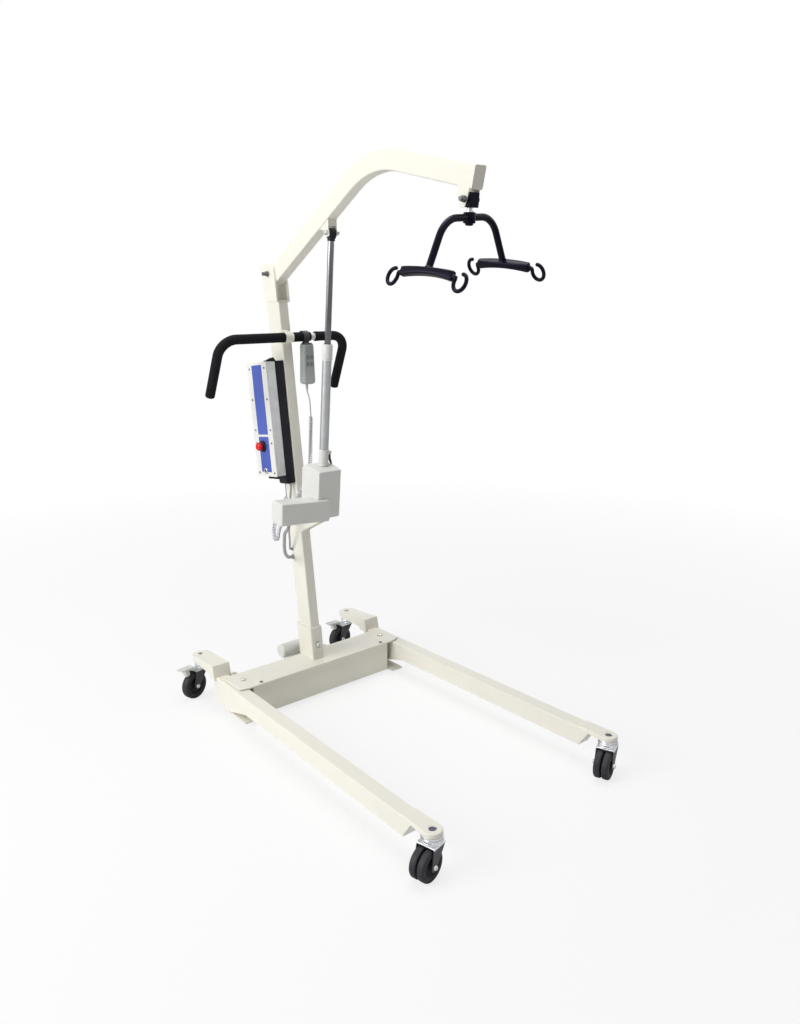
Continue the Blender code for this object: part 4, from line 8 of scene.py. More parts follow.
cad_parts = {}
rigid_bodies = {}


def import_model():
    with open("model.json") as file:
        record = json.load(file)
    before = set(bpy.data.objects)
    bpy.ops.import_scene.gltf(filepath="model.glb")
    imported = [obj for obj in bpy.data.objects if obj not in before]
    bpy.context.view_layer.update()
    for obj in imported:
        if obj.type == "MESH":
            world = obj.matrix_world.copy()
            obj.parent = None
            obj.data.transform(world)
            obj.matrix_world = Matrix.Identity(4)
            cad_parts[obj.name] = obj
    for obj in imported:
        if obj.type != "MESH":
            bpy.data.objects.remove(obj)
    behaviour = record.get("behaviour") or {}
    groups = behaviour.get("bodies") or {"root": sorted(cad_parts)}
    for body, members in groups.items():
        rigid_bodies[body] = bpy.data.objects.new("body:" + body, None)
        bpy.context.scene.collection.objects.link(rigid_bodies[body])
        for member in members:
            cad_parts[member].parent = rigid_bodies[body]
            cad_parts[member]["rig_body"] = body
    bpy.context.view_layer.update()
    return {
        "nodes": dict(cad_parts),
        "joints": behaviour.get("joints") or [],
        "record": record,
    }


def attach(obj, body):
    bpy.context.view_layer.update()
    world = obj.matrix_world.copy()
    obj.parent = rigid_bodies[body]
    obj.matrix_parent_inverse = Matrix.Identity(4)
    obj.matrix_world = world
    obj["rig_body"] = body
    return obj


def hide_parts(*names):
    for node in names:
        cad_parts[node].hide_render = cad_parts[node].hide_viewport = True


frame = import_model()

# The part is laid out about its leg pivots; the shift carries that layout onto the frame's floor.
layout = {
    "shift": Vector((0.025058, 0.408238, -0.030)),
    "mastLean": math.radians(7.03),
    "mastFront": -0.039,
    "footPivot": (-0.062, 0.713),
    "topPivot": (-0.1545, 1.666),
    "hangerPivot": (-0.774, 1.720),
    "hangPitch": math.radians(5.44),
    "hangRoll": math.radians(-3.65),
    "hangYaw": math.radians(9.2),
}
slotOf = {entry["node"]: entry["material_slot"] for entry in frame["record"]["subparts"]}
jointOf = {joint["child"]: joint for joint in frame["joints"]}
shift = Matrix.Translation(layout["shift"])
mastPlace = Matrix.Translation((0, layout["mastFront"], 0)) @ Matrix.Rotation(-layout["mastLean"], 4, "X")
leanFrame = shift @ mastPlace


def linked(name, data):
    made = bpy.data.objects.new(name, data)
    bpy.context.scene.collection.objects.link(made)
    return made


# Camera
cameraSettings = {
    "place": Vector((-1.65616, -2.45860, 1.49767)),
    "yaw": 0.69956,
    "pitch": 0.25695,
    "focalPixels": 853.75,
    "imageHeight": 1024,
    "sensor": 36,
    "farClip": 60,
}


def makeCamera(settings):
    data = bpy.data.cameras.new("viewCamera")
    camera = linked("viewCamera", data)
    yaw, pitch = settings["yaw"], settings["pitch"]
    level = math.cos(pitch)
    look = Vector((math.sin(yaw) * level, math.cos(yaw) * level, -math.sin(pitch)))
    right = Vector((math.cos(yaw), -math.sin(yaw), 0))
    up = right.cross(look)
    turn = Matrix((right, up, -look)).transposed().to_4x4()
    camera.matrix_world = Matrix.Translation(settings["place"] + layout["shift"]) @ turn
    data.sensor_fit = "VERTICAL"
    data.sensor_height = settings["sensor"]
    data.lens = settings["focalPixels"] / settings["imageHeight"] * settings["sensor"]
    data.clip_end = settings["farClip"]
    bpy.context.scene.camera = camera


makeCamera(cameraSettings)
print("camera set")


# Shader arithmetic
class Wire:  # an output socket that takes part in plain arithmetic
    def __init__(self, graph, socket):
        self.graph = graph
        self.socket = socket

    def calc(self, operation, first, second, clamp=False):
        settings = {"operation": operation, "use_clamp": clamp}
        return self.graph.node("ShaderNodeMath", settings, {0: first, 1: second})

    def __add__(self, other):
        return self.calc("ADD", self, other)

    def __sub__(self, other):
        return self.calc("SUBTRACT", self, other)

    def __rsub__(self, other):
        return self.calc("SUBTRACT", other, self)

    def __mul__(self, other):
        return self.calc("MULTIPLY", self, other)

    def __pow__(self, other):
        return self.calc("POWER", self, other)

    def __lt__(self, other):
        return self.calc("LESS_THAN", self, other)

    __radd__ = __add__
    __rmul__ = __mul__

    def band(self, low, high):  # 0 below low, 1 above high
        return self.calc("MULTIPLY", self - low, 1.0 / (high - low), clamp=True)


class Graph:  # a node tree, and the one way in which it gains nodes
    def __init__(self, tree):
        self.tree = tree

    def node(self, kind, settings=None, values=None, out=0):
        made = self.tree.nodes.new(kind)
        for key, value in (settings or {}).items():
            setattr(made, key, value)
        for key, value in (values or {}).items():
            self.join(value, made.inputs[key])
        return Wire(self, made.outputs[out])

    def join(self, value, socket):
        if isinstance(value, Wire):
            self.tree.links.new(value.socket, socket)
        else:
            socket.default_value = value


finishes = {}


class Paint(Graph):  # one material: a Principled shader and the nodes that feed it
    def __init__(self, name, **values):
        self.material = bpy.data.materials.new(name)
        self.material.use_nodes = True
        super().__init__(self.material.node_tree)
        self.shader = self.tree.nodes["Principled BSDF"]
        self.feed(**values)
        finishes[name] = self.material

    def feed(self, **values):
        for key, value in values.items():
            socket = self.shader.inputs[key.replace("_", " ")]
            solid = socket.type == "RGBA" and not isinstance(value, Wire)
            self.join((*value, 1.0) if solid else value, socket)

    def place(self, stretch=None):
        spot = self.node("ShaderNodeTexCoord", out="Object")
        if stretch is None:
            return spot
        return self.node("ShaderNodeVectorMath", {"operation": "MULTIPLY"}, {0: spot, 1: stretch})

    def along(self, axis):
        return self.node("ShaderNodeSeparateXYZ", values={0: self.place()}, out=axis)

    def noise(self, scale, detail, rough, stretch=None):
        values = {"Vector": self.place(stretch), "Scale": scale, "Detail": detail, "Roughness": rough}
        return self.node("ShaderNodeTexNoise", values=values)

    def cells(self, scale):
        return self.node("ShaderNodeTexVoronoi", values={"Vector": self.place(), "Scale": scale})

    def blend(self, factor, first, second):
        values = {0: factor}
        for key, value in ((6, first), (7, second)):
            values[key] = value if isinstance(value, Wire) else (*value, 1.0)
        return self.node("ShaderNodeMix", {"data_type": "RGBA"}, values, out=2)

    def bump(self, height, distance, strength):
        values = {"Strength": strength, "Distance": distance, "Height": height}
        return self.node("ShaderNodeBump", values=values, out="Normal")


def coatOfPaint(name, colour, shade, roughness=0.34, grime=0.10):
    # powder coat: orange peel, cloudy gloss, a little dirt in streaky patches
    paint = Paint(name, IOR=1.5, Specular_IOR_Level=0.5)
    clouds = paint.noise(3.2, 3.0, 0.55)
    peel = paint.noise(420.0, 2.0, 0.5)
    specks = paint.cells(95.0)
    scuffs = paint.noise(38.0, 4.0, 0.65, (1.0, 0.12, 1.0))
    base = paint.blend(clouds.band(0.35, 0.65), colour, shade)
    dirt = scuffs.band(0.60, 0.78) * grime
    base = paint.blend(dirt, base, (0.55, 0.53, 0.47))
    base = paint.blend((specks < 0.02) * 0.10, base, (0.60, 0.58, 0.52))
    gloss = clouds * 0.10 + peel * 0.06 + (roughness - 0.08) + dirt * 0.5
    paint.feed(Base_Color=base, Roughness=gloss, Coat_Weight=0.12, Coat_Roughness=0.18,
               Normal=paint.bump(peel, 0.00012, 0.35))


def glossBlack(name, colour, roughness):
    # stove enamel with a faint violet cast, fine scratches and dust; the dust patches are also tinted violet
    # as a painted sheen
    paint = Paint(name, IOR=1.45, Specular_IOR_Level=0.14, Specular_Tint=(0.62, 0.52, 1.0))
    wear = paint.noise(60.0, 5.0, 0.7, (1.0, 1.0, 0.25))
    ripple = paint.noise(180.0, 2.0, 0.5)
    dust = paint.noise(9.0, 4.0, 0.6)
    # dust patches: partly lighter dust, partly a painted violet sheen
    base = paint.blend(dust.band(0.45, 0.75) * 0.45, colour, (0.012, 0.009, 0.026))
    paint.feed(Base_Color=base, Roughness=wear.band(0.45, 0.75) * 0.05 + roughness, Coat_Weight=0.04,
               Coat_Roughness=0.16, Normal=paint.bump(ripple, 0.00004, 0.15))


def bareMetal(name, colour, dark, roughness, grain, stretch=None, bump=0.00003):
    # plated or drawn metal: cloudy, with a fine grain that follows the working direction
    paint = Paint(name, Metallic=1.0)
    clouds = paint.noise(24.0, 3.0, 0.6)
    lines = paint.noise(grain, 3.0, 0.6, stretch)
    base = paint.blend(clouds.band(0.35, 0.70), colour, dark)
    paint.feed(Base_Color=base, Roughness=lines * 0.14 + clouds * 0.08 + (roughness - 0.10),
               Normal=paint.bump(lines, bump, 0.5))


def mouldedPlastic(name, colour, other, roughness, grain=900.0, depth=0.00006, shine=0.5):
    # spark-eroded mould grain with a faint flow cloud
    paint = Paint(name, IOR=1.46, Specular_IOR_Level=shine)
    clouds = paint.noise(6.0, 3.0, 0.5)
    texture = paint.cells(grain)
    rub = paint.noise(55.0, 4.0, 0.6)
    base = paint.blend(clouds.band(0.35, 0.70), colour, other)
    base = paint.blend(rub.band(0.62, 0.80) * 0.25, base, other)
    paint.feed(Base_Color=base, Roughness=clouds * 0.08 + rub * 0.08 + (roughness - 0.08),
               Normal=paint.bump(texture, depth, 0.4))


def softRubber(name, colour, other, roughness, grain, depth):
    # dull skin with fine pores
    paint = Paint(name, IOR=1.45, Specular_IOR_Level=0.20)
    pores = paint.cells(grain)
    clouds = paint.noise(14.0, 4.0, 0.6)
    base = paint.blend(clouds.band(0.40, 0.72), colour, other)
    paint.feed(Base_Color=base, Roughness=clouds * 0.12 + (roughness - 0.06),
               Normal=paint.bump(pores, depth, 0.6))


coatOfPaint("creamCoat", (0.915, 0.893, 0.790), (0.890, 0.870, 0.772))
coatOfPaint("whiteCoat", (0.870, 0.865, 0.830), (0.840, 0.838, 0.808), 0.30, 0.05)
glossBlack("spreaderEnamel", (0.0035, 0.003, 0.006), 0.30)
bareMetal("zincPlate", (0.66, 0.66, 0.64), (0.48, 0.48, 0.47), 0.34, 260.0)
bareMetal("darkBolt", (0.20, 0.20, 0.21), (0.10, 0.10, 0.11), 0.42, 260.0)
bareMetal("brightRing", (0.86, 0.87, 0.88), (0.66, 0.67, 0.69), 0.26, 220.0, (1.0, 1.0, 6.0))
bareMetal("drawnTube", (0.50, 0.51, 0.52), (0.44, 0.45, 0.46), 0.46, 190.0, (1.0, 1.0, 0.05))
bareMetal("chromeRod", (0.36, 0.35, 0.37), (0.26, 0.25, 0.27), 0.16, 150.0, (1.0, 1.0, 12.0), 0.00001)
bareMetal("boxSheet", (0.60, 0.61, 0.61), (0.52, 0.53, 0.54), 0.48, 210.0, (1.0, 1.0, 0.04))
mouldedPlastic("paleHousing", (0.800, 0.800, 0.765), (0.760, 0.762, 0.735), 0.46)
mouldedPlastic("blackCase", (0.012, 0.012, 0.016), (0.024, 0.022, 0.029), 0.50, shine=0.22)
mouldedPlastic("pedalPlastic", (0.70, 0.70, 0.67), (0.58, 0.58, 0.56), 0.44)
mouldedPlastic("stopRed", (0.86, 0.014, 0.020), (0.78, 0.012, 0.018), 0.26, 1400.0, 0.00002)
mouldedPlastic("labelBlue", (0.060, 0.105, 0.470), (0.085, 0.135, 0.520), 0.36, 1600.0, 0.00001)
softRubber("foamSleeve", (0.008, 0.008, 0.010), (0.016, 0.015, 0.019), 0.88, 620.0, 0.00022)
softRubber("buttonRubber", (0.255, 0.275, 0.262), (0.215, 0.235, 0.224), 0.62, 1300.0, 0.00004)
softRubber("cableSheath", (0.44, 0.45, 0.44), (0.34, 0.35, 0.35), 0.52, 900.0, 0.00003)
# cordSheath: its pale grey is darkened and tinted violet, a painted shade from where the cord hangs in the
# motor's shade
softRubber("cordSheath", (0.70, 0.67, 0.73), (0.56, 0.52, 0.60), 0.46, 900.0, 0.00003)


def wheelRubber():
    # charcoal tread with greyer dusty patches, fine pits and a varied roughness
    paint = Paint("treadRubber", IOR=1.45, Specular_IOR_Level=0.4)
    dust = paint.noise(30.0, 5.0, 0.62)
    pits = paint.cells(520.0)
    fine = paint.noise(240.0, 3.0, 0.6)
    base = paint.blend(dust.band(0.42, 0.74) * 0.8, (0.016, 0.015, 0.019), (0.044, 0.040, 0.048))
    paint.feed(Base_Color=base, Roughness=dust * 0.16 + fine * 0.10 + 0.42,
               Normal=paint.bump(pits, 0.00010, 0.5))


def forkSteel(name, level, headLevel):
    # black cheeks up to level, bright plate and bearing above, dark violet stem head from headLevel up
    paint = Paint(name)
    height = paint.along("Z")
    upper = height.band(level - 0.0006, level + 0.0006)
    head = height.band(headLevel - 0.0004, headLevel + 0.0004)
    clouds = paint.noise(40.0, 4.0, 0.6)
    lines = paint.noise(240.0, 3.0, 0.6, (1.0, 1.0, 5.0))
    dark = paint.blend(clouds.band(0.40, 0.72), (0.028, 0.027, 0.033), (0.070, 0.068, 0.078))
    bright = paint.blend(clouds.band(0.35, 0.70), (0.84, 0.85, 0.87), (0.62, 0.63, 0.66))
    body = paint.blend(upper, dark, bright)
    paint.feed(Base_Color=paint.blend(head, body, (0.115, 0.105, 0.165)), Metallic=upper * 0.95,
               Roughness=lines * 0.12 + clouds * 0.10 + 0.24, Normal=paint.bump(lines, 0.00003, 0.5))


def handsetPlastic(fade, hook):
    # grey body with painted light that makes it paler towards the bottom between the fade heights, darker
    # from the hook heights up
    paint = Paint("handsetShell", IOR=1.46)
    clouds = paint.noise(12.0, 3.0, 0.5)
    grain = paint.cells(1000.0)
    rub = paint.noise(70.0, 4.0, 0.6)
    body = paint.blend(clouds.band(0.35, 0.70), (0.370, 0.395, 0.378), (0.320, 0.345, 0.330))
    body = paint.blend(rub.band(0.60, 0.80) * 0.3, body, (0.46, 0.48, 0.46))
    # painted light: the lower body is blended paler, as if lit more brightly
    body = paint.blend(paint.along("Z").band(*fade) * 0.75, body, (0.56, 0.585, 0.565))
    body = paint.blend(paint.along("Z").band(*hook), body, (0.030, 0.030, 0.034))
    paint.feed(Base_Color=body, Roughness=rub * 0.10 + 0.38, Normal=paint.bump(grain, 0.00006, 0.4))


wheelRubber()
forkSteel("frontForkSteel", level=0.0932, headLevel=0.1256)
forkSteel("rearForkSteel", level=0.1057, headLevel=0.1478)
# the fade heights bound the painted light on the handset's lower end
handsetPlastic(fade=(1.235, 1.145), hook=(1.2747, 1.2759))
print("finishes:", len(finishes))


# Making meshes
def meshObject(name, points, faces):
    mesh = bpy.data.meshes.new(name)
    mesh.from_pydata([tuple(p) for p in points], [], faces)
    builder = bmesh.new()
    builder.from_mesh(mesh)
    bmesh.ops.remove_doubles(builder, verts=builder.verts, dist=1e-6)
    bmesh.ops.recalc_face_normals(builder, faces=builder.faces)
    builder.to_mesh(mesh)
    builder.free()
    return linked(name, mesh)


def placed(item, matrix):
    item.data.transform(matrix)
    return item


def shaded(item, angle):
    # smooth shading, with the edges that are sharper than angle left hard
    item.data.shade_smooth()
    item.data.set_sharp_from_angle(angle=math.radians(angle))
    return item


def roundEdges(item, width, segments=2, angle=38):
    # cut real bevels into the mesh, then shade it so that flat faces stay flat
    builder = bmesh.new()
    builder.from_mesh(item.data)
    if width > 0:
        sharp = [edge for edge in builder.edges
                 if len(edge.link_faces) == 2 and edge.calc_face_angle(0.0) > math.radians(angle)]
        bmesh.ops.bevel(builder, geom=sharp, offset=width, offset_type="OFFSET", segments=segments,
                        profile=0.5, affect="EDGES", clamp_overlap=True, material=-1)
        bmesh.ops.remove_doubles(builder, verts=builder.verts, dist=2e-6)
        bmesh.ops.dissolve_degenerate(builder, edges=builder.edges, dist=1e-6)
    builder.to_mesh(item.data)
    builder.free()
    shaded(item, 42)
    even = item.modifiers.new("faceShading", "WEIGHTED_NORMAL")
    even.keep_sharp = True
    even.weight = 90


def circle(centre, side, other, radius, steps):
    angles = [2 * math.pi * step / steps for step in range(steps)]
    return [centre + (side * math.cos(a) + other * math.sin(a)) * radius for a in angles]


def lofted(name, rings, caps=(), closed=False):
    # rings of points joined by quads; caps are the rings that get a flat face
    count = len(rings[0])
    loops = [range(start, start + count) for start in range(0, count * len(rings), count)]
    pairs = list(zip(loops[:-1], loops[1:])) + ([(loops[-1], loops[0])] if closed else [])
    faces = [(low[k], low[(k + 1) % count], high[(k + 1) % count], high[k])
             for low, high in pairs for k in range(count)]
    faces += [tuple(loops[cap]) for cap in caps]
    return meshObject(name, [point for ring in rings for point in ring], faces)


def turned(name, profile, place=(0, 0, 0), way=(0, 0, 1), steps=64, smooth=None, within=None):
    # profile points are (radius, along) about way; a profile that ends off the axis closes into a ring
    way = Vector(way).normalized()
    side = way.orthogonal().normalized()
    other = way.cross(side)
    rings = [circle(Vector(place) + way * along, side, other, radius, steps) for radius, along in profile]
    isRing = profile[-1][0] > 0
    item = lofted(name, rings, () if isRing or profile[0][0] == 0 else (0,), isRing)
    if within is not None:
        placed(item, within)
    return shaded(item, smooth) if smooth else item


def mirrored(half):
    # a profile and its image on the other side of along = 0
    return half + [(radius, -along) for radius, along in reversed(half)]


def roundedBox(width, depth, corner, steps=5):
    outline = []
    for sx, sy, start in ((1, 1, 0), (-1, 1, 90), (-1, -1, 180), (1, -1, 270)):
        for step in range(steps):
            angle = math.radians(start + 90 * step / (steps - 1))
            outline.append((sx * (width / 2 - corner) + corner * math.cos(angle),
                            sy * (depth / 2 - corner) + corner * math.sin(angle)))
    return outline


def bentPath(knots, radius, steps):
    # straight runs with each corner turned on one radius
    knots = [Vector(k) for k in knots]
    path = [knots[0]]
    for before, corner, after in zip(knots[:-2], knots[1:-1], knots[2:]):
        back, ahead = (before - corner).normalized(), (after - corner).normalized()
        half = back.angle(ahead) / 2
        reach = radius / math.tan(half)
        centre = corner + (back + ahead).normalized() * (radius / math.sin(half))
        first = corner + back * reach - centre
        last = corner + ahead * reach - centre
        normal = first.cross(last).normalized()
        for step in range(steps + 1):
            turn = first.angle(last) * (step / steps)
            path.append(centre + Matrix.Rotation(turn, 3, normal) @ first)
    return path + [knots[-1]]


def pipe(name, path, radius, sides=32, dome=0.0):
    # round bar along a path; dome is how far each end bulges
    path = [Vector(p) for p in path]
    radii = [radius] * len(path)
    angles = [math.radians(a) for a in (84, 66, 48, 30, 14)] if dome else []
    for _ in range(2):  # one end, then the other
        path.reverse()
        radii.reverse()
        tip, way = path[0], (path[0] - path[1]).normalized()
        path = [tip + way * dome * math.sin(a) for a in angles] + path
        radii = [radius * math.cos(a) for a in angles] + radii
    across = None
    rings = []
    for index, spot in enumerate(path):
        tangent = (path[min(index + 1, len(path) - 1)] - path[max(index - 1, 0)]).normalized()
        across = tangent.orthogonal() if across is None else across - tangent * across.dot(tangent)
        across = across.normalized()
        rings.append(circle(spot, across, tangent.cross(across), radii[index], sides))
    return shaded(lofted(name, rings, (0, -1)), 40)


def joined(name, items):
    builder = bmesh.new()
    for item in items:
        builder.from_mesh(item.data)
        bpy.data.objects.remove(item)
    mesh = bpy.data.meshes.new(name)
    builder.to_mesh(mesh)
    builder.free()
    return shaded(linked(name, mesh), 40)


def fit(item, body, finish, nodes=()):
    # paint a piece, set it on its body and hide the CAD nodes it stands for
    item.data.materials.clear()
    item.data.materials.append(finishes[finish])
    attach(item, body)
    if nodes:
        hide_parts(*nodes)
    return item


def dressed(node, finish, width, segments=2, angle=38):
    # a finer copy of a plain part: its facets merged and every hard edge rounded
    source = frame["nodes"][node]
    item = linked(node + ".skin", source.data.copy())
    builder = bmesh.new()
    builder.from_mesh(item.data)
    bmesh.ops.remove_doubles(builder, verts=builder.verts, dist=1e-5)
    bmesh.ops.dissolve_limit(builder, angle_limit=math.radians(0.6), verts=builder.verts,
                             edges=builder.edges)
    builder.to_mesh(item.data)
    builder.free()
    roundEdges(item, width, segments, angle)
    return fit(item, source["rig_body"], finish, [node])


# Steel frame, each part with the width of its rounded edges
frameSettings = {
    "cross_member": 0.0016, "base_top_plate": 0.0012, "leg_left": 0.0, "leg_right": 0.0, "mast_tube": 0.0,
    "mast_foot": 0.0010, "mast_head_fork": 0.0010, "boom_tube": 0.0008, "boom_actuator_bracket": 0.0008,
    "actuator_foot_bracket": 0.0008, "handle_clamp": 0.0010, "drive_bracket": 0.0008,
    "control_box_panel": 0.0004,
}
skins = {}
for node, width in frameSettings.items():
    skins[node] = dressed(node, "whiteCoat" if node == "control_box_panel" else "creamCoat", width)
print("frame dressed:", len(frameSettings))

# Bolts that are fused to a frame part and get a finish of their own
fusedSettings = {
    "plate": (0.267, -0.056, 0.166), "plateReach": 0.009,
    "footAlong": 0.2215, "footDepths": (-0.0063, 0.0863), "footReach": 0.0145,
    "bracketHalf": 0.017, "bracketReach": 0.013, "standOut": (0.0008, 0.05),
}


def tinted(node, finish, spots, reach, standOut):
    # spots are (point on the face, outward way); what stands out within reach of one is tinted
    skin = skins[node].data
    skin.materials.append(finishes[finish])
    for face in skin.polygons:
        for base, way in spots:
            offset = face.center - base
            out = offset.dot(way)
            if standOut[0] < out < standOut[1] and (offset - way * out).length < reach:
                face.material_index = 1


def tintBolts(s):
    x, y, z = s["plate"]
    spots = [(shift @ Vector((sign * x, y, z)), Vector((0, 0, 1))) for sign in (-1, 1)]
    tinted("base_top_plate", "darkBolt", spots, s["plateReach"], s["standOut"])
    back = leanFrame.to_3x3() @ Vector((0, 1, 0))
    spots = [(leanFrame @ Vector((0, depth, s["footAlong"])), back * sign)
             for depth, sign in zip(s["footDepths"], (-1, 1))]
    tinted("mast_foot", "zincPlate", spots, s["footReach"], s["standOut"])
    spots = [(shift @ Vector((sign * s["bracketHalf"], *layout["topPivot"])), Vector((sign, 0, 0)))
             for sign in (-1, 1)]
    tinted("boom_actuator_bracket", "zincPlate", spots, s["bracketReach"], s["standOut"])


tintBolts(fusedSettings)

# Bolts, pins and links: finish and edge width
pinSettings = {
    "leg_pivot_bolt_left": ("zincPlate", 0.0008), "leg_pivot_bolt_right": ("zincPlate", 0.0008),
    "boom_pivot_bolt": ("darkBolt", 0.0007), "hanger_bolt": ("darkBolt", 0.0006),
    "actuator_foot_pin": ("darkBolt", 0.0006), "cross_link": ("zincPlate", 0.0008),
    "drive_rod": ("zincPlate", 0.0006),
}
for node, (finish, width) in pinSettings.items():
    dressed(node, finish, width)
print("bolts and pins:", len(pinSettings))

# Wheels
wheelSettings = {
    "front": {"radius": 0.0450, "width": 0.0235, "hub": 0.0295, "boss": 0.0125, "dish": 0.0040},
    "rear": {"radius": 0.0500, "width": 0.0300, "hub": 0.0330, "boss": 0.0140, "dish": 0.0060},
    "bore": 0.0046, "shoulder": 0.0050, "lip": 0.0012, "crown": 0.42, "wallInset": 0.0030,
    "coreInset": 0.0006,
}


def makeWheel(node, s, sizes):
    joint = jointOf[node]
    place, way = Vector(joint["pos_m"]), Vector(joint["axis"])
    radius, half, hub, boss = sizes["radius"], sizes["width"] / 2, sizes["hub"], sizes["boss"]
    lip, crown = s["lip"], half * s["crown"]
    shoulder = radius - s["shoulder"]
    tyre = [(hub, -half + 0.0022), (hub + 0.0015, -half + 0.0008), (radius - 0.0100, -half),
            (shoulder, -half + lip)]
    for angle in (20, 40, 60, 80):
        turn = math.radians(angle)
        along = -crown - (half - lip - crown) * math.cos(turn)
        tyre.append((shoulder + s["shoulder"] * math.sin(turn), along))
    tyre.append((radius, -crown * 0.6))
    tread = turned(node + ".tread", mirrored(tyre), place, way, 80, 50)
    fit(tread, node, "treadRubber", [node])
    wall, end = half - s["wallInset"], half - s["coreInset"]
    web = wall - sizes["dish"]
    core = [(s["bore"], -end), (boss - 0.0015, -end), (boss, -half + 0.0018), (boss + 0.0010, -web - 0.0010),
            (boss + 0.0035, -web), (hub - 0.0050, -web), (hub - 0.0022, -wall + lip), (hub - 0.0002, -wall)]
    disc = turned(node + ".centre", mirrored(core), place, way, smooth=35)
    fit(disc, node, "blackCase")


wheelNodes = [node for node in slotOf if "wheel" in node]
for node in wheelNodes:
    makeWheel(node, wheelSettings, wheelSettings["front" if node.startswith("front") else "rear"])
print("wheels:", len(wheelNodes))

# Forks, bearing rings, axle nuts and pedals
forkSettings = {
    "front": {"axle": 0.0450, "nutMiddle": 0.0312, "ring": 0.0297, "ringHeights": (0.1005, 0.1165)},
    "rear": {"axle": 0.0500, "nutMiddle": 0.0217, "ring": 0.0262, "ringHeights": (0.1130, 0.1320)},
    "ringSwells": (0.0006, 0.0012, 0.0004),
    "nut": [(0.0, -0.0052), (0.0094, -0.0052), (0.0094, -0.0044), (0.0074, -0.0042), (0.0074, -0.0010),
            (0.0072, 0.0012), (0.0062, 0.0030), (0.0046, 0.0044), (0.0, 0.0050)],
}


def makeFork(end, side, s, sizes):
    node = end + "_fork_" + side
    dressed(node, end + "ForkSteel", 0.0006)
    axle = jointOf[end + "_wheel_" + side + ("_front" if end == "front" else "")]
    way = Vector(axle["axis"])
    swivel = Vector((*jointOf[node]["pos_m"][:2], 0))
    forward = Vector((*axle["pos_m"][:2], 0)) - swivel
    forward -= way * forward.dot(way)
    middle = swivel + forward + Vector((0, 0, sizes["axle"]))
    for sign, letter in ((-1, ".a"), (1, ".b")):
        nut = turned("axleNut." + node + letter, s["nut"], middle + way * sign * sizes["nutMiddle"],
                     way * sign, 36, 35)
        fit(nut, node, "zincPlate")
    low, high = sizes["ringHeights"]
    for index, level in enumerate((low, (low + high) / 2, high)):
        wide = sizes["ring"] + s["ringSwells"][index]
        profile = mirrored([(wide - 0.0030, -0.0018), (wide - 0.0004, -0.0016), (wide, -0.0008)])
        ring = turned("bearingRing.%s.%d" % (node, index), profile, (swivel.x, swivel.y, level), smooth=35)
        fit(ring, node, "brightRing")


for end in ("front", "rear"):
    for side in ("left", "right"):
        makeFork(end, side, forkSettings, forkSettings[end])
for side in ("left", "right"):
    dressed("brake_pedal_" + side, "pedalPlastic", 0.0008)
print("forks and pedals done")

# Hanger and spreader
spreaderSettings = {
    "hubTop": -0.0315, "hubBottom": -0.0595, "hubRadius": 0.0165, "hubBore": 0.0063,
    "tubeTop": -0.0446, "bendX": 0.103, "bendRadius": 0.080, "tubeRadius": 0.0095,
    "barX": 0.1685, "barDrop": 0.1262, "barHalf": 0.084, "barWidth": 0.026, "barMiddle": 0.0185,
    "barEnd": 0.0265, "barTaper": 0.32, "barSag": 0.0025, "barCorner": 0.0045, "barRows": 28,
    "pinch": 0.10, "pinchFrom": 0.94,
    "hookReach": 0.1096, "hookDrop": 0.0198, "hookY": 0.0172, "hookZ": 0.0226, "hookRod": 0.0052,
    "hookTwist": 0.0060, "hookStart": 152, "hookSweep": 297.6, "hookSteps": 36, "hookDome": 0.0048,
    "gusset": [(0.0, -0.010), (0.0058, -0.0095), (0.0074, -0.004), (0.0070, 0.003), (0.0056, 0.0085),
               (0.0, 0.009)],
    "pin": [(0.0064, -0.0202), (0.0080, -0.0206), (0.0080, -0.0232), (0.0068, -0.0236), (0.0068, -0.0270),
            (0.0104, -0.0274), (0.0108, -0.0284), (0.0108, -0.0306), (0.0104, -0.0311), (0.0064, -0.0311)],
}
hangPlace = shift @ Matrix.Translation((0, *layout["hangerPivot"]))
blockFrame = hangPlace @ Matrix.Rotation(layout["hangPitch"], 4, "X")
swivelFrame = blockFrame @ Matrix.Rotation(layout["hangRoll"], 4, "Y")
spreaderFrame = swivelFrame @ Matrix.Rotation(layout["hangYaw"], 4, "Z")


def makeSpreaderTube(s, down, barZ):
    end = Vector((s["barX"], 0, barZ)) + down * 0.001
    knots = [(-end.x, 0, end.z), (-s["bendX"], 0, s["tubeTop"]), (s["bendX"], 0, s["tubeTop"]), end]
    tube = pipe("spreaderTubePipe", bentPath(knots, s["bendRadius"], 20), s["tubeRadius"])
    top, bottom, wide, rod = s["hubTop"], s["hubBottom"], s["hubRadius"], s["tubeRadius"]
    profile = [(s["hubBore"], bottom), (wide - 0.0020, bottom), (wide - 0.0006, bottom + 0.0006),
               (wide, bottom + 0.0020), (wide, top - 0.0020), (wide - 0.0006, top - 0.0006),
               (wide - 0.0020, top), (s["hubBore"], top)]
    parts = [tube, turned("spreaderHub", profile, steps=48)]
    profile = [(rod - 0.0004, 0.0), (rod + 0.0024, 0.0005), (rod + 0.0018, 0.0026), (rod - 0.0004, 0.0042)]
    for sign in (-1, 1):
        parts.append(turned("weldRing", profile, (sign * (wide - 0.0014), 0, s["tubeTop"]), (sign, 0, 0), 32))
    made = placed(joined("spreaderTubeAssembly", parts), spreaderFrame)
    fit(made, "spreader", "spreaderEnamel", ["spreader_tube"])


def barRing(s, share):
    # section of a hook bar, share of the way from its middle to an end
    bulge = share * share
    closing = 1.0 - s["pinch"] * max(0.0, abs(share) - s["pinchFrom"]) / (1.0 - s["pinchFrom"])
    width = s["barWidth"] * (1 - s["barTaper"] * bulge) * closing
    thick = (s["barMiddle"] + (s["barEnd"] - s["barMiddle"]) * bulge) * closing
    middle = s["barMiddle"] / 2 - s["barSag"] * bulge - thick / 2
    return [(a, share * s["barHalf"], b + middle) for a, b in roundedBox(width, thick, s["barCorner"])]


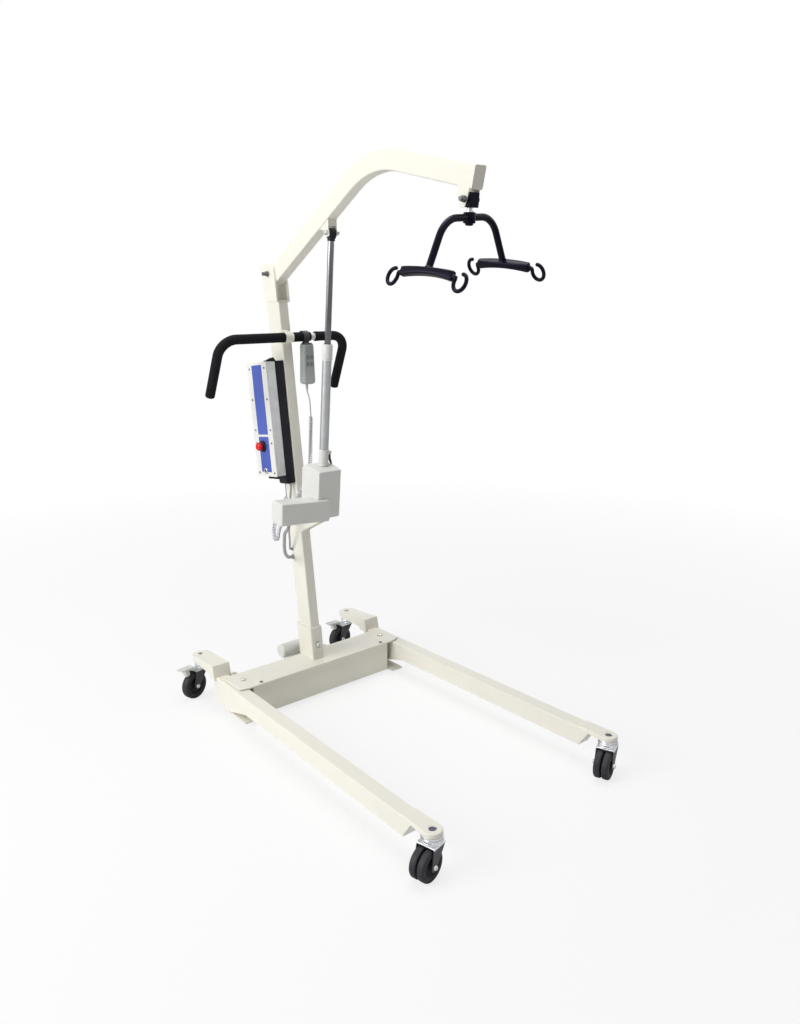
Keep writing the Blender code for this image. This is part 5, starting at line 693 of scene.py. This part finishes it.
def makeHook(s, end):
    # an open hook at one end of a bar, and the gusset at its root
    run = [Vector((0, end * (s["barHalf"] - 0.010), -0.0055))]
    for step in range(s["hookSteps"] + 1):
        share = step / s["hookSteps"]
        angle = math.radians(s["hookStart"] + s["hookSweep"] * share)
        aside = s["hookTwist"] * (share - 0.35) * min(1.0, step / 8)
        reach = s["hookReach"] + s["hookY"] * math.cos(angle)
        run.append(Vector((aside, end * reach, -s["hookDrop"] + s["hookZ"] * math.sin(angle))))
    root = (0, end * (s["barHalf"] - 0.001), -0.0068)
    return [pipe("hookRod", run, s["hookRod"], 24, s["hookDome"]),
            turned("gusset", s["gusset"], root, (0, end, -0.35), 28)]


def makeHookBar(s, sign, word, down, barZ):
    tilt = Matrix.Rotation(math.atan2(-sign * down.x, -down.z), 4, "Y")
    place = spreaderFrame @ Matrix.Translation((sign * s["barX"], 0, barZ)) @ tilt
    rings = [barRing(s, -1 + 2 * row / s["barRows"]) for row in range(s["barRows"] + 1)]
    parts = [lofted("hookBarCasting", rings, (0, -1)), *makeHook(s, -1), *makeHook(s, 1)]
    rod = s["tubeRadius"]
    profile = [(rod - 0.0003, 0.0042), (rod + 0.0028, 0.0), (rod - 0.0003, -0.0010)]
    parts.append(turned("barWeld", profile, (0, 0, s["barMiddle"] / 2), steps=32))
    made = placed(joined("hookBar." + word, parts), place)
    fit(made, "spreader", "spreaderEnamel", ["hook_bar_" + word])


def makeSpreader(s):
    down = Vector((s["barX"] - s["bendX"], 0, -s["barDrop"])).normalized()
    barZ = s["tubeTop"] - s["barDrop"]
    makeSpreaderTube(s, down, barZ)
    for sign, word in ((-1, "left"), (1, "right")):
        makeHookBar(s, sign, word, down, barZ)
    dressed("hanger_block", "spreaderEnamel", 0.0008)
    pin = turned("swivelPin", s["pin"], steps=40, smooth=35, within=swivelFrame)
    fit(pin, "hanger", "zincPlate")


makeSpreader(spreaderSettings)
print("spreader done")

# Push handle and foam sleeves
handleSettings = {
    "y": 0.100, "z": 1.331, "middleX": -0.018, "cornerX": 0.254, "end": (0.259, 0.1845, 1.141),
    "bend": 0.060, "radius": 0.0125, "inset": 0.006, "grip": 0.0165, "gripDome": 0.0070,
    "leftStart": -0.028, "rightStart": 0.101, "cuffs": (0.0022, 0.0100),
    "inner": (0.006, 0.079), "innerEdge": 0.0018,
}


def handleRun(s, sign, start, inset=0.0):
    # from start along the cross bar, round the corner and down to the bar's end
    corner = Vector((s["middleX"] + sign * s["cornerX"], s["y"], s["z"]))
    end = Vector((s["middleX"] + sign * s["end"][0], *s["end"][1:]))
    end = end - (end - corner).normalized() * inset
    return bentPath([(start, s["y"], s["z"]), corner, end], s["bend"], 18)


def makeHandle(s):
    left, right = (handleRun(s, sign, 0.0, s["inset"]) for sign in (-1, 1))
    bar = placed(pipe("handleTube", left[::-1] + right[1:], s["radius"], 36), shift)
    fit(bar, "base", "creamCoat", ["handle_bar"])
    grip = s["grip"]
    profile = [(grip - 0.0006, -0.0016), (grip + 0.0006, -0.0012), (grip + 0.0007, 0.0),
               (grip + 0.0006, 0.0012), (grip - 0.0006, 0.0016)]
    for sign, word, start in ((-1, "left", s["leftStart"]), (1, "right", s["rightStart"])):
        run = handleRun(s, sign, start)
        sleeve = placed(pipe("foamSleeve." + word, run, grip, 40, s["gripDome"]), shift)
        fit(sleeve, "base", "foamSleeve", ["grip_" + word])
        cuffs = [turned("cuff", profile, (start + sign * offset, s["y"], s["z"]), (1, 0, 0), 40)
                 for offset in s["cuffs"]]
        cuff = placed(joined("foamCuff." + word, cuffs), shift)
        fit(cuff, "base", "foamSleeve")
    low, high = s["inner"]
    run = [(x, s["y"], s["z"]) for x in (low, (low + high) / 2, high)]
    inner = placed(pipe("foamSleeve.inner", run, grip, 40), shift)
    roundEdges(inner, s["innerEdge"], 3, 60)
    fit(inner, "base", "foamSleeve", ["grip_right_inner"])


makeHandle(handleSettings)
print("handle done")

# Lift actuator
actuatorSettings = {
    "tube": 0.0154, "bore": 0.0128, "tubeRun": (0.2525, 0.5545), "collar": 0.0176, "collarTop": 0.6085,
    "rod": 0.0105, "rodStart": 0.495, "eye": 0.0135, "eyeNeck": 0.0123, "coverX": 0.039,
    "screws": [(-0.040, 0.030), (0.040, 0.030), (-0.040, 0.170), (0.036, 0.170)],
    "screw": [(0.0014, -0.0004), (0.0014, 0.0004), (0.0020, 0.0010), (0.0030, 0.0008), (0.0036, 0.0),
              (0.0036, -0.0006), (0.0, -0.0006), (0.0, -0.0004)],
}


def actuatorPlace():
    # the actuator's own frame in the layout, and its length between the pins
    base, top = (Vector((0, *layout[pivot])) for pivot in ("footPivot", "topPivot"))
    tilt = math.atan2(base.y - top.y, top.z - base.z)
    return Matrix.Translation(base) @ Matrix.Rotation(tilt, 4, "X"), (top - base).length


def makeActuatorTubes(s, place, length):
    low, high = s["tubeRun"]
    tube, bore, rod = s["tube"], s["bore"], s["rod"]
    profile = [(bore, low), (tube - 0.0004, low), (tube, low + 0.0004), (tube, high - 0.0004),
               (tube - 0.0004, high), (bore, high)]
    outer = turned("actuatorTube", profile, smooth=35, within=place)
    fit(outer, "actuator", "drawnTube", ["actuator_outer_tube"])
    start, end = s["rodStart"], length - s["eye"] - s["eyeNeck"]
    profile = [(0.0, start), (rod - 0.001, start), (rod, start + 0.001), (rod, end), (0.0, end)]
    bar = turned("actuatorRodBar", profile, steps=48, smooth=35, within=place)
    fit(bar, "rod", "chromeRod", ["actuator_rod"])


def makeUpperCollar(s, place):
    wide, rod, top = s["collar"], s["rod"], s["collarTop"]
    low = s["tubeRun"][1] + 0.0003
    profile = [(rod + 0.0004, low), (wide - 0.0006, low), (wide, low + 0.0006), (wide, low + 0.0100),
               (wide - 0.0008, low + 0.0108), (wide - 0.0008, low + 0.0124), (wide, low + 0.0132),
               (wide, top - 0.0046), (wide - 0.0010, top - 0.0022), (wide - 0.0032, top - 0.0004),
               (wide - 0.0046, top), (rod + 0.0004, top)]
    collar = turned("upperCollarRing", profile, steps=56, smooth=32, within=place)
    fit(collar, "actuator", "paleHousing", ["upper_collar"])
    profile = [(wide - 0.0012, low + 0.0050), (wide + 0.0005, low + 0.0054), (wide + 0.0005, low + 0.0086),
               (wide - 0.0012, low + 0.0090)]
    band = turned("collarBand", profile, steps=56, within=place)
    fit(band, "actuator", "paleHousing")
    profile = [(rod + 0.0004, top - 0.0010), (rod + 0.0026, top - 0.0006), (rod + 0.0022, top + 0.0012),
               (rod + 0.0005, top + 0.0018)]
    wiper = turned("rodWiper", profile, steps=48, within=place)
    fit(wiper, "actuator", "blackCase")


def makeActuator(s):
    place, length = actuatorPlace()
    place = shift @ place
    makeActuatorTubes(s, place, length)
    makeUpperCollar(s, place)
    for node, finish, width in (
            ("lower_collar", "paleHousing", 0.0006), ("rod_end", "blackCase", 0.0006),
            ("gear_housing", "paleHousing", 0.0008), ("motor_housing", "paleHousing", 0.0008),
            ("release_lever", "blackCase", 0.0006)):
        dressed(node, finish, width)
    for index, (deep, up) in enumerate(s["screws"]):  # on the gear housing's side cover
        screw = turned("coverScrew." + str(index), s["screw"], (s["coverX"], deep, up), (1, 0, 0), 24,
                       within=place)
        fit(screw, "actuator", "darkBolt")


makeActuator(actuatorSettings)
print("actuator done")

# Control box
boxSettings = {
    "panelX": -0.0965,
    "label": (0.031, 0.097, 0.875, 1.252), "gap": (1.001, 1.009), "labelCorner": 0.004,
    "labelFaces": (-0.0004, 0.0002),
    "screwDepths": (0.012, 0.112), "screwHeights": (1.2405, 1.1325, 1.0245, 0.9785, 0.8725),
    "stop": (0.0715, 0.9677), "stopRadius": 0.015, "stopHeight": 0.016, "stopReach": 0.0105,
    "socket": (0.065, 0.880),
    "screwProfile": [(0.0035, 0.0), (0.0036, 0.0008), (0.0033, 0.0018), (0.0024, 0.0024), (0.0012, 0.0026),
                     (0.0011, 0.0014), (0.0, 0.0014)],
    "bossProfile": [(0.0066, 0.0002), (0.0196, 0.0002), (0.0202, 0.0010), (0.0200, 0.0040),
                    (0.0190, 0.0072), (0.0178, 0.0082), (0.0164, 0.0084), (0.0157, 0.0078),
                    (0.0157, 0.0061), (0.0066, 0.0061)],
    "socketProfile": [(0.0058, 0.0002), (0.0058, 0.0056), (0.0064, 0.0062), (0.0086, 0.0062),
                      (0.0100, 0.0052), (0.0104, 0.0002)],
    "coreProfile": [(0.0016, 0.0002), (0.0016, 0.0050), (0.0022, 0.0054), (0.0054, 0.0054),
                    (0.0057, 0.0048), (0.0057, 0.0002)],
}


def onPanel(name, profile, s, spot, steps, smooth, reach=0.0):
    # a round piece that points out of the panel; spot is (depth, along the mast)
    return turned(name, profile, (s["panelX"] - reach, *spot), (-1, 0, 0), steps, smooth, leanFrame)


def makeLabel(name, s, bottom, top):
    # a thin strip just proud of the panel, rounded at its corners
    low, high = s["label"][:2]
    outline = [(a + (low + high) / 2, b + (bottom + top) / 2)
               for a, b in roundedBox(high - low, top - bottom, s["labelCorner"], 6)]
    rings = [[(s["panelX"] + level, a, b) for a, b in outline] for level in s["labelFaces"]]
    strip = placed(lofted(name, rings, (0, -1)), leanFrame)
    fit(strip, "base", "labelBlue")


def makeStopButton(s):
    boss = onPanel("stopBoss", s["bossProfile"], s, s["stop"], 56, 35)
    fit(boss, "base", "blackCase")
    wide, tall = s["stopRadius"], s["stopHeight"]
    profile = [(0.0, -0.0035), (0.0058, -0.0035), (0.0058, 0.0), (wide - 0.0022, 0.0),
               (wide - 0.0006, 0.0006), (wide, 0.0022), (wide - 0.0005, tall * 0.45),
               (wide - 0.0006, tall * 0.62)]
    for angle in (10, 24, 38, 52, 66, 80):
        turn = math.radians(angle)
        profile.append((wide * 0.93 * math.cos(turn) ** 0.55, tall * (0.70 + 0.30 * math.sin(turn))))
    profile.append((0.0, tall))
    stop = onPanel("stopCap", profile, s, s["stop"], 64, 40, s["stopReach"])
    fit(stop, "emergency_stop", "stopRed", ["emergency_stop_button"])


def makeControlBox(s):
    dressed("control_box_housing", "boxSheet", 0.0)
    dressed("battery_pack", "blackCase", 0.0)
    bottom, top = s["label"][2:]
    makeLabel("labelUpper", s, s["gap"][1], top)
    makeLabel("labelLower", s, bottom, s["gap"][0])
    spots = [(depth, height) for height in s["screwHeights"] for depth in s["screwDepths"]]
    for index, spot in enumerate(spots):
        screw = onPanel("panelScrew." + str(index), s["screwProfile"], s, spot, 28, 40, 0.0002)
        fit(screw, "base", "darkBolt")
    makeStopButton(s)
    for name, finish, profile in (("chargeSocket", "zincPlate", "socketProfile"),
                                  ("chargeSocketCore", "blackCase", "coreProfile")):
        jack = onPanel(name, s[profile], s, s["socket"], 48, 35)
        fit(jack, "base", finish)


makeControlBox(boxSettings)
print("control box done")

# Handset and the leg drive's body
dressed("handset_body", "handsetShell", 0.0006, angle=45)
for word in ("boom_up", "legs_open", "boom_down", "legs_close"):
    dressed("button_" + word, "buttonRubber", 0.0008, 3)
dressed("drive_body", "paleHousing", 0.0008)
print("handset done")

# Cords
cordSettings = {
    "curly": {"radius": 0.0022, "coil": 0.0054, "turns": 92, "perTurn": 12, "start": (0.0515, 0.084, 1.1547)},
    "motor": {"radius": 0.0060, "height": 0.537, "deep": 0.070},
    "drive": {"radius": 0.0036, "height": 0.566, "deep": 0.072},
    "batteryExit": 0.8275, "mastHalf": 0.020, "wallGap": 0.0015, "motorExit": (-0.150, -0.020, 0.0175),
}


def smoothRoute(knots, count):
    # a curve through the knots, cut into count points at even distances
    knots = [Vector(k) for k in knots]
    padded = [knots[0] * 2 - knots[1]] + knots + [knots[-1] * 2 - knots[-2]]
    dense = []
    for index in range(1, len(padded) - 2):
        a, b, c, d = padded[index - 1:index + 3]
        for step in range(24):
            t = step / 24
            dense.append(0.5 * ((2 * b) + (c - a) * t + (2 * a - 5 * b + 4 * c - d) * t * t
                                + (3 * b - a - 3 * c + d) * t * t * t))
    dense.append(knots[-1])
    lengths = [0.0]
    for first, second in zip(dense[:-1], dense[1:]):
        lengths.append(lengths[-1] + (second - first).length)
    points, position = [], 0
    for index in range(count):
        wanted = lengths[-1] * index / (count - 1)
        while position < len(lengths) - 2 and lengths[position + 1] < wanted:
            position += 1
        span = lengths[position + 1] - lengths[position]
        share = (wanted - lengths[position]) / span if span else 0.0
        points.append(dense[position].lerp(dense[position + 1], min(1.0, max(0.0, share))))
    return points


def coiled(route, s):
    # wind a helix round the route, easing in and out over its first and last turn
    points, across = [], None
    count = len(route)
    for index in range(count):
        tangent = (route[min(index + 1, count - 1)] - route[max(index - 1, 0)]).normalized()
        guide = Vector((0, 1, 0)) if across is None else across
        across = (guide - tangent * guide.dot(tangent)).normalized()
        up = tangent.cross(across)
        angle = 2 * math.pi * index / s["perTurn"]
        ease = min(1.0, index / s["perTurn"], (count - 1 - index) / s["perTurn"])
        points.append(route[index] + (across * math.cos(angle) + up * math.sin(angle)) * s["coil"] * ease)
    return points


def makeCord(name, points, radius, node, finish, resolution):
    points = [shift @ Vector(p) for p in points]
    data = bpy.data.curves.new(name, "CURVE")
    data.dimensions = "3D"
    data.bevel_depth = radius
    data.bevel_resolution = resolution
    data.use_fill_caps = True
    line = data.splines.new("POLY")
    line.points.add(len(points) - 1)
    for spot, point in zip(line.points, points):
        spot.co = (*point, 1.0)
    line.use_smooth = True
    cord = fit(linked(name, data), "base", finish, [node])
    length = sum((b - a).length for a, b in zip(points[:-1], points[1:]))
    print(name, "length %.3f m" % length)


def gland(name, place, way, radius, long, ribs=5):
    # tapered ribbed sleeve where a cord leaves a housing
    profile = [(radius * 1.02, long)]
    for k in range(ribs, 0, -1):
        wide = radius * (1.25 + 0.75 * (1 - k / ribs))
        top = long * k / ribs
        profile += [(wide, top - long * 0.02), (wide, top - long * 0.12),
                    (wide - radius * 0.15, top - long * 0.14), (wide - radius * 0.15, top - long * 0.19)]
    profile += [(radius * 2.1, 0.0006), (radius * 2.1, -0.0004), (radius * 1.02, -0.0004)]
    return turned(name, profile, shift @ Vector(place), way, 32, 35)


def makeCurlyCord(s, own):
    bottom = Vector(own["start"])
    leadEnd = Vector((0.0620, 0.0800, 1.055))
    boxEnd = mastPlace @ Vector((-0.044, 0.036, s["batteryExit"]))
    tailStart = boxEnd + Vector((0, -0.0055, -0.045))
    knots = [leadEnd, (0.0590, 0.0795, 0.990), (0.0480, 0.0680, 0.922), (0.0330, 0.0520, 0.880),
             (0.0060, 0.0330, 0.842), (-0.0300, 0.0190, 0.800), (-0.0680, 0.0150, 0.758),
             (-0.1000, 0.0165, 0.718), (-0.1195, 0.0205, 0.684), (-0.1262, 0.0240, 0.662),
             (-0.1272, 0.0252, 0.6490), (-0.1280, 0.0279, 0.6423), (-0.1299, 0.0343, 0.6396),
             (-0.1318, 0.0407, 0.6423), (-0.1326, 0.0434, 0.6490), (-0.1322, 0.0440, 0.662),
             (-0.1250, 0.0490, 0.686), (-0.1000, 0.0620, 0.712), (-0.0670, 0.0790, 0.740), tailStart]
    curls = coiled(smoothRoute(knots, own["turns"] * own["perTurn"] + 1), own)
    lead = smoothRoute([bottom, bottom + Vector((0, 0, -0.012)), (0.0600, 0.0815, 1.110), leadEnd], 20)
    tail = smoothRoute([tailStart, tailStart.lerp(boxEnd, 0.5), boxEnd], 6)
    makeCord("curlyCord", lead[:-1] + curls + tail[1:], own["radius"], "handset_cord",
             "cordSheath", 3)
    boot = gland("cordGland.handset", bottom + Vector((0, 0, 0.0003)), (0, 0, -1), own["radius"], 0.012)
    fit(boot, "base", "cordSheath")


def mastWall(s, own):
    # where a cable meets the mast's left side
    front = layout["mastFront"] + own["height"] * math.tan(layout["mastLean"])
    return Vector((-s["mastHalf"], front + own["deep"], own["height"]))


def makeCables(s):
    start = actuatorPlace()[0] @ Vector(s["motorExit"])
    wall = mastWall(s, s["motor"]) - Vector((s["wallGap"], 0, 0))
    knots = [start, start + Vector((-0.001, 0.002, -0.020)), (-0.1520, -0.0600, 0.6850),
             (-0.1365, -0.0300, 0.6480), (-0.1185, 0.0000, 0.6120), (-0.0920, 0.0360, 0.5770),
             (-0.0600, 0.0720, 0.5500), wall + Vector((-0.015, -0.002, 0.002)), wall]
    makeCord("liftMotorCable", smoothRoute(knots, 60), s["motor"]["radius"], "lift_motor_cable",
             "cableSheath", 6)
    start = mastPlace @ Vector((-0.034, 0.018, s["batteryExit"]))
    wall = mastWall(s, s["drive"]) - Vector((s["wallGap"], 0, 0))
    knots = [start, start + Vector((0, -0.0024, -0.020)), (-0.0562, 0.0620, 0.7091),
             (-0.0525, 0.0700, 0.6507), (-0.0380, 0.0900, 0.5960), wall + Vector((-0.010, -0.002, 0.003)),
             wall]
    makeCord("legDriveCable", smoothRoute(knots, 60), s["drive"]["radius"], "leg_drive_cable",
             "cableSheath", 5)
    for name in ("motor", "drive"):
        thick = s[name]["radius"]
        profile = [(thick * 1.02, 0.0002), (thick * 1.02, 0.0040), (thick * 1.15, 0.0048),
                   (thick * 1.42, 0.0044), (thick * 1.60, 0.0030), (thick * 1.66, 0.0002)]
        ring = turned("cordGland." + name, profile, shift @ mastWall(s, s[name]), (-1, 0, 0), 36, 40)
        fit(ring, "base", "cableSheath")


makeCurlyCord(cordSettings, cordSettings["curly"])
makeCables(cordSettings)
print("cords done")

# Floor, backdrop and lamps
stageSettings = {
    "floorSize": 30.0, "floorColour": (0.93, 0.93, 0.93), "ambient": 0.19, "fade": (1.2, 4.0), "near": 0.78,
}
lampSettings = {
    "keyLamp": {"place": (-4.2, 0.9, 2.6), "target": (0, 0, 0.9), "size": (3.2, 2.6), "power": 150.0},
    "topLamp": {"place": (0.3, 0.2, 4.4), "target": (0, 0, 0.6), "size": (3.0, 3.0), "power": 88.0},
    "fillLamp": {"place": (1.6, -4.2, 1.8), "target": (0, 0, 0.9), "size": (2.6, 2.2), "power": 2.0},
}


def makeFloor(s):
    half = s["floorSize"] / 2
    corners = [(-half, -half, 0), (half, -half, 0), (half, half, 0), (-half, half, 0)]
    floor = meshObject("floorPlane", corners, [(0, 1, 2, 3)])
    paint = Paint("floorFinish", Base_Color=s["floorColour"], Roughness=0.9, Specular_IOR_Level=0.1)
    seen = paint.node("ShaderNodeLightPath", out="Is Camera Ray")
    glow = paint.node("ShaderNodeEmission", values={"Color": (1, 1, 1, 1), "Strength": 1.0})
    surface = Wire(paint, paint.shader.outputs[0])
    east, north = paint.along("X"), paint.along("Y")
    away = ((east * east + north * north) ** 0.5).band(*s["fade"])  # the floor fades into the pale backdrop
    share = seen * (away * (1.0 - s["near"]) + s["near"])
    mixed = paint.node("ShaderNodeMixShader", values={0: share, 1: surface, 2: glow})
    paint.join(mixed, paint.tree.nodes["Material Output"].inputs["Surface"])
    floor.data.materials.append(paint.material)


def makeAir(s):
    # white to the camera and in reflections, dim as a light
    world = bpy.data.worlds.new("studioAir")
    bpy.context.scene.world = world
    world.use_nodes = True
    air = Graph(world.node_tree)
    camera, glossy, through = (air.node("ShaderNodeLightPath", out="Is " + kind + " Ray")
                               for kind in ("Camera", "Glossy", "Transmission"))
    seen = air.node("ShaderNodeMath", {"operation": "MAXIMUM"}, {0: glossy, 1: through})
    seen = air.node("ShaderNodeMath", {"operation": "MAXIMUM"}, {0: camera, 1: seen})
    background = air.tree.nodes["Background"]
    air.join((1, 1, 1, 1), background.inputs["Color"])
    air.join(seen * (1.0 - s["ambient"]) + s["ambient"], background.inputs["Strength"])


def softLamp(name, s):
    data = bpy.data.lights.new(name, "AREA")
    data.shape = "RECTANGLE"
    data.size, data.size_y = s["size"]
    data.energy = s["power"]
    way = Vector(s["place"]) - Vector(s["target"])
    turn = way.to_track_quat("Z", "Y").to_matrix().to_4x4()
    linked(name, data).matrix_world = Matrix.Translation(s["place"]) @ turn


makeFloor(stageSettings)
makeAir(stageSettings)
for name, settings in lampSettings.items():
    softLamp(name, settings)
bpy.context.scene.view_settings.view_transform = "Standard"
print("stage done")
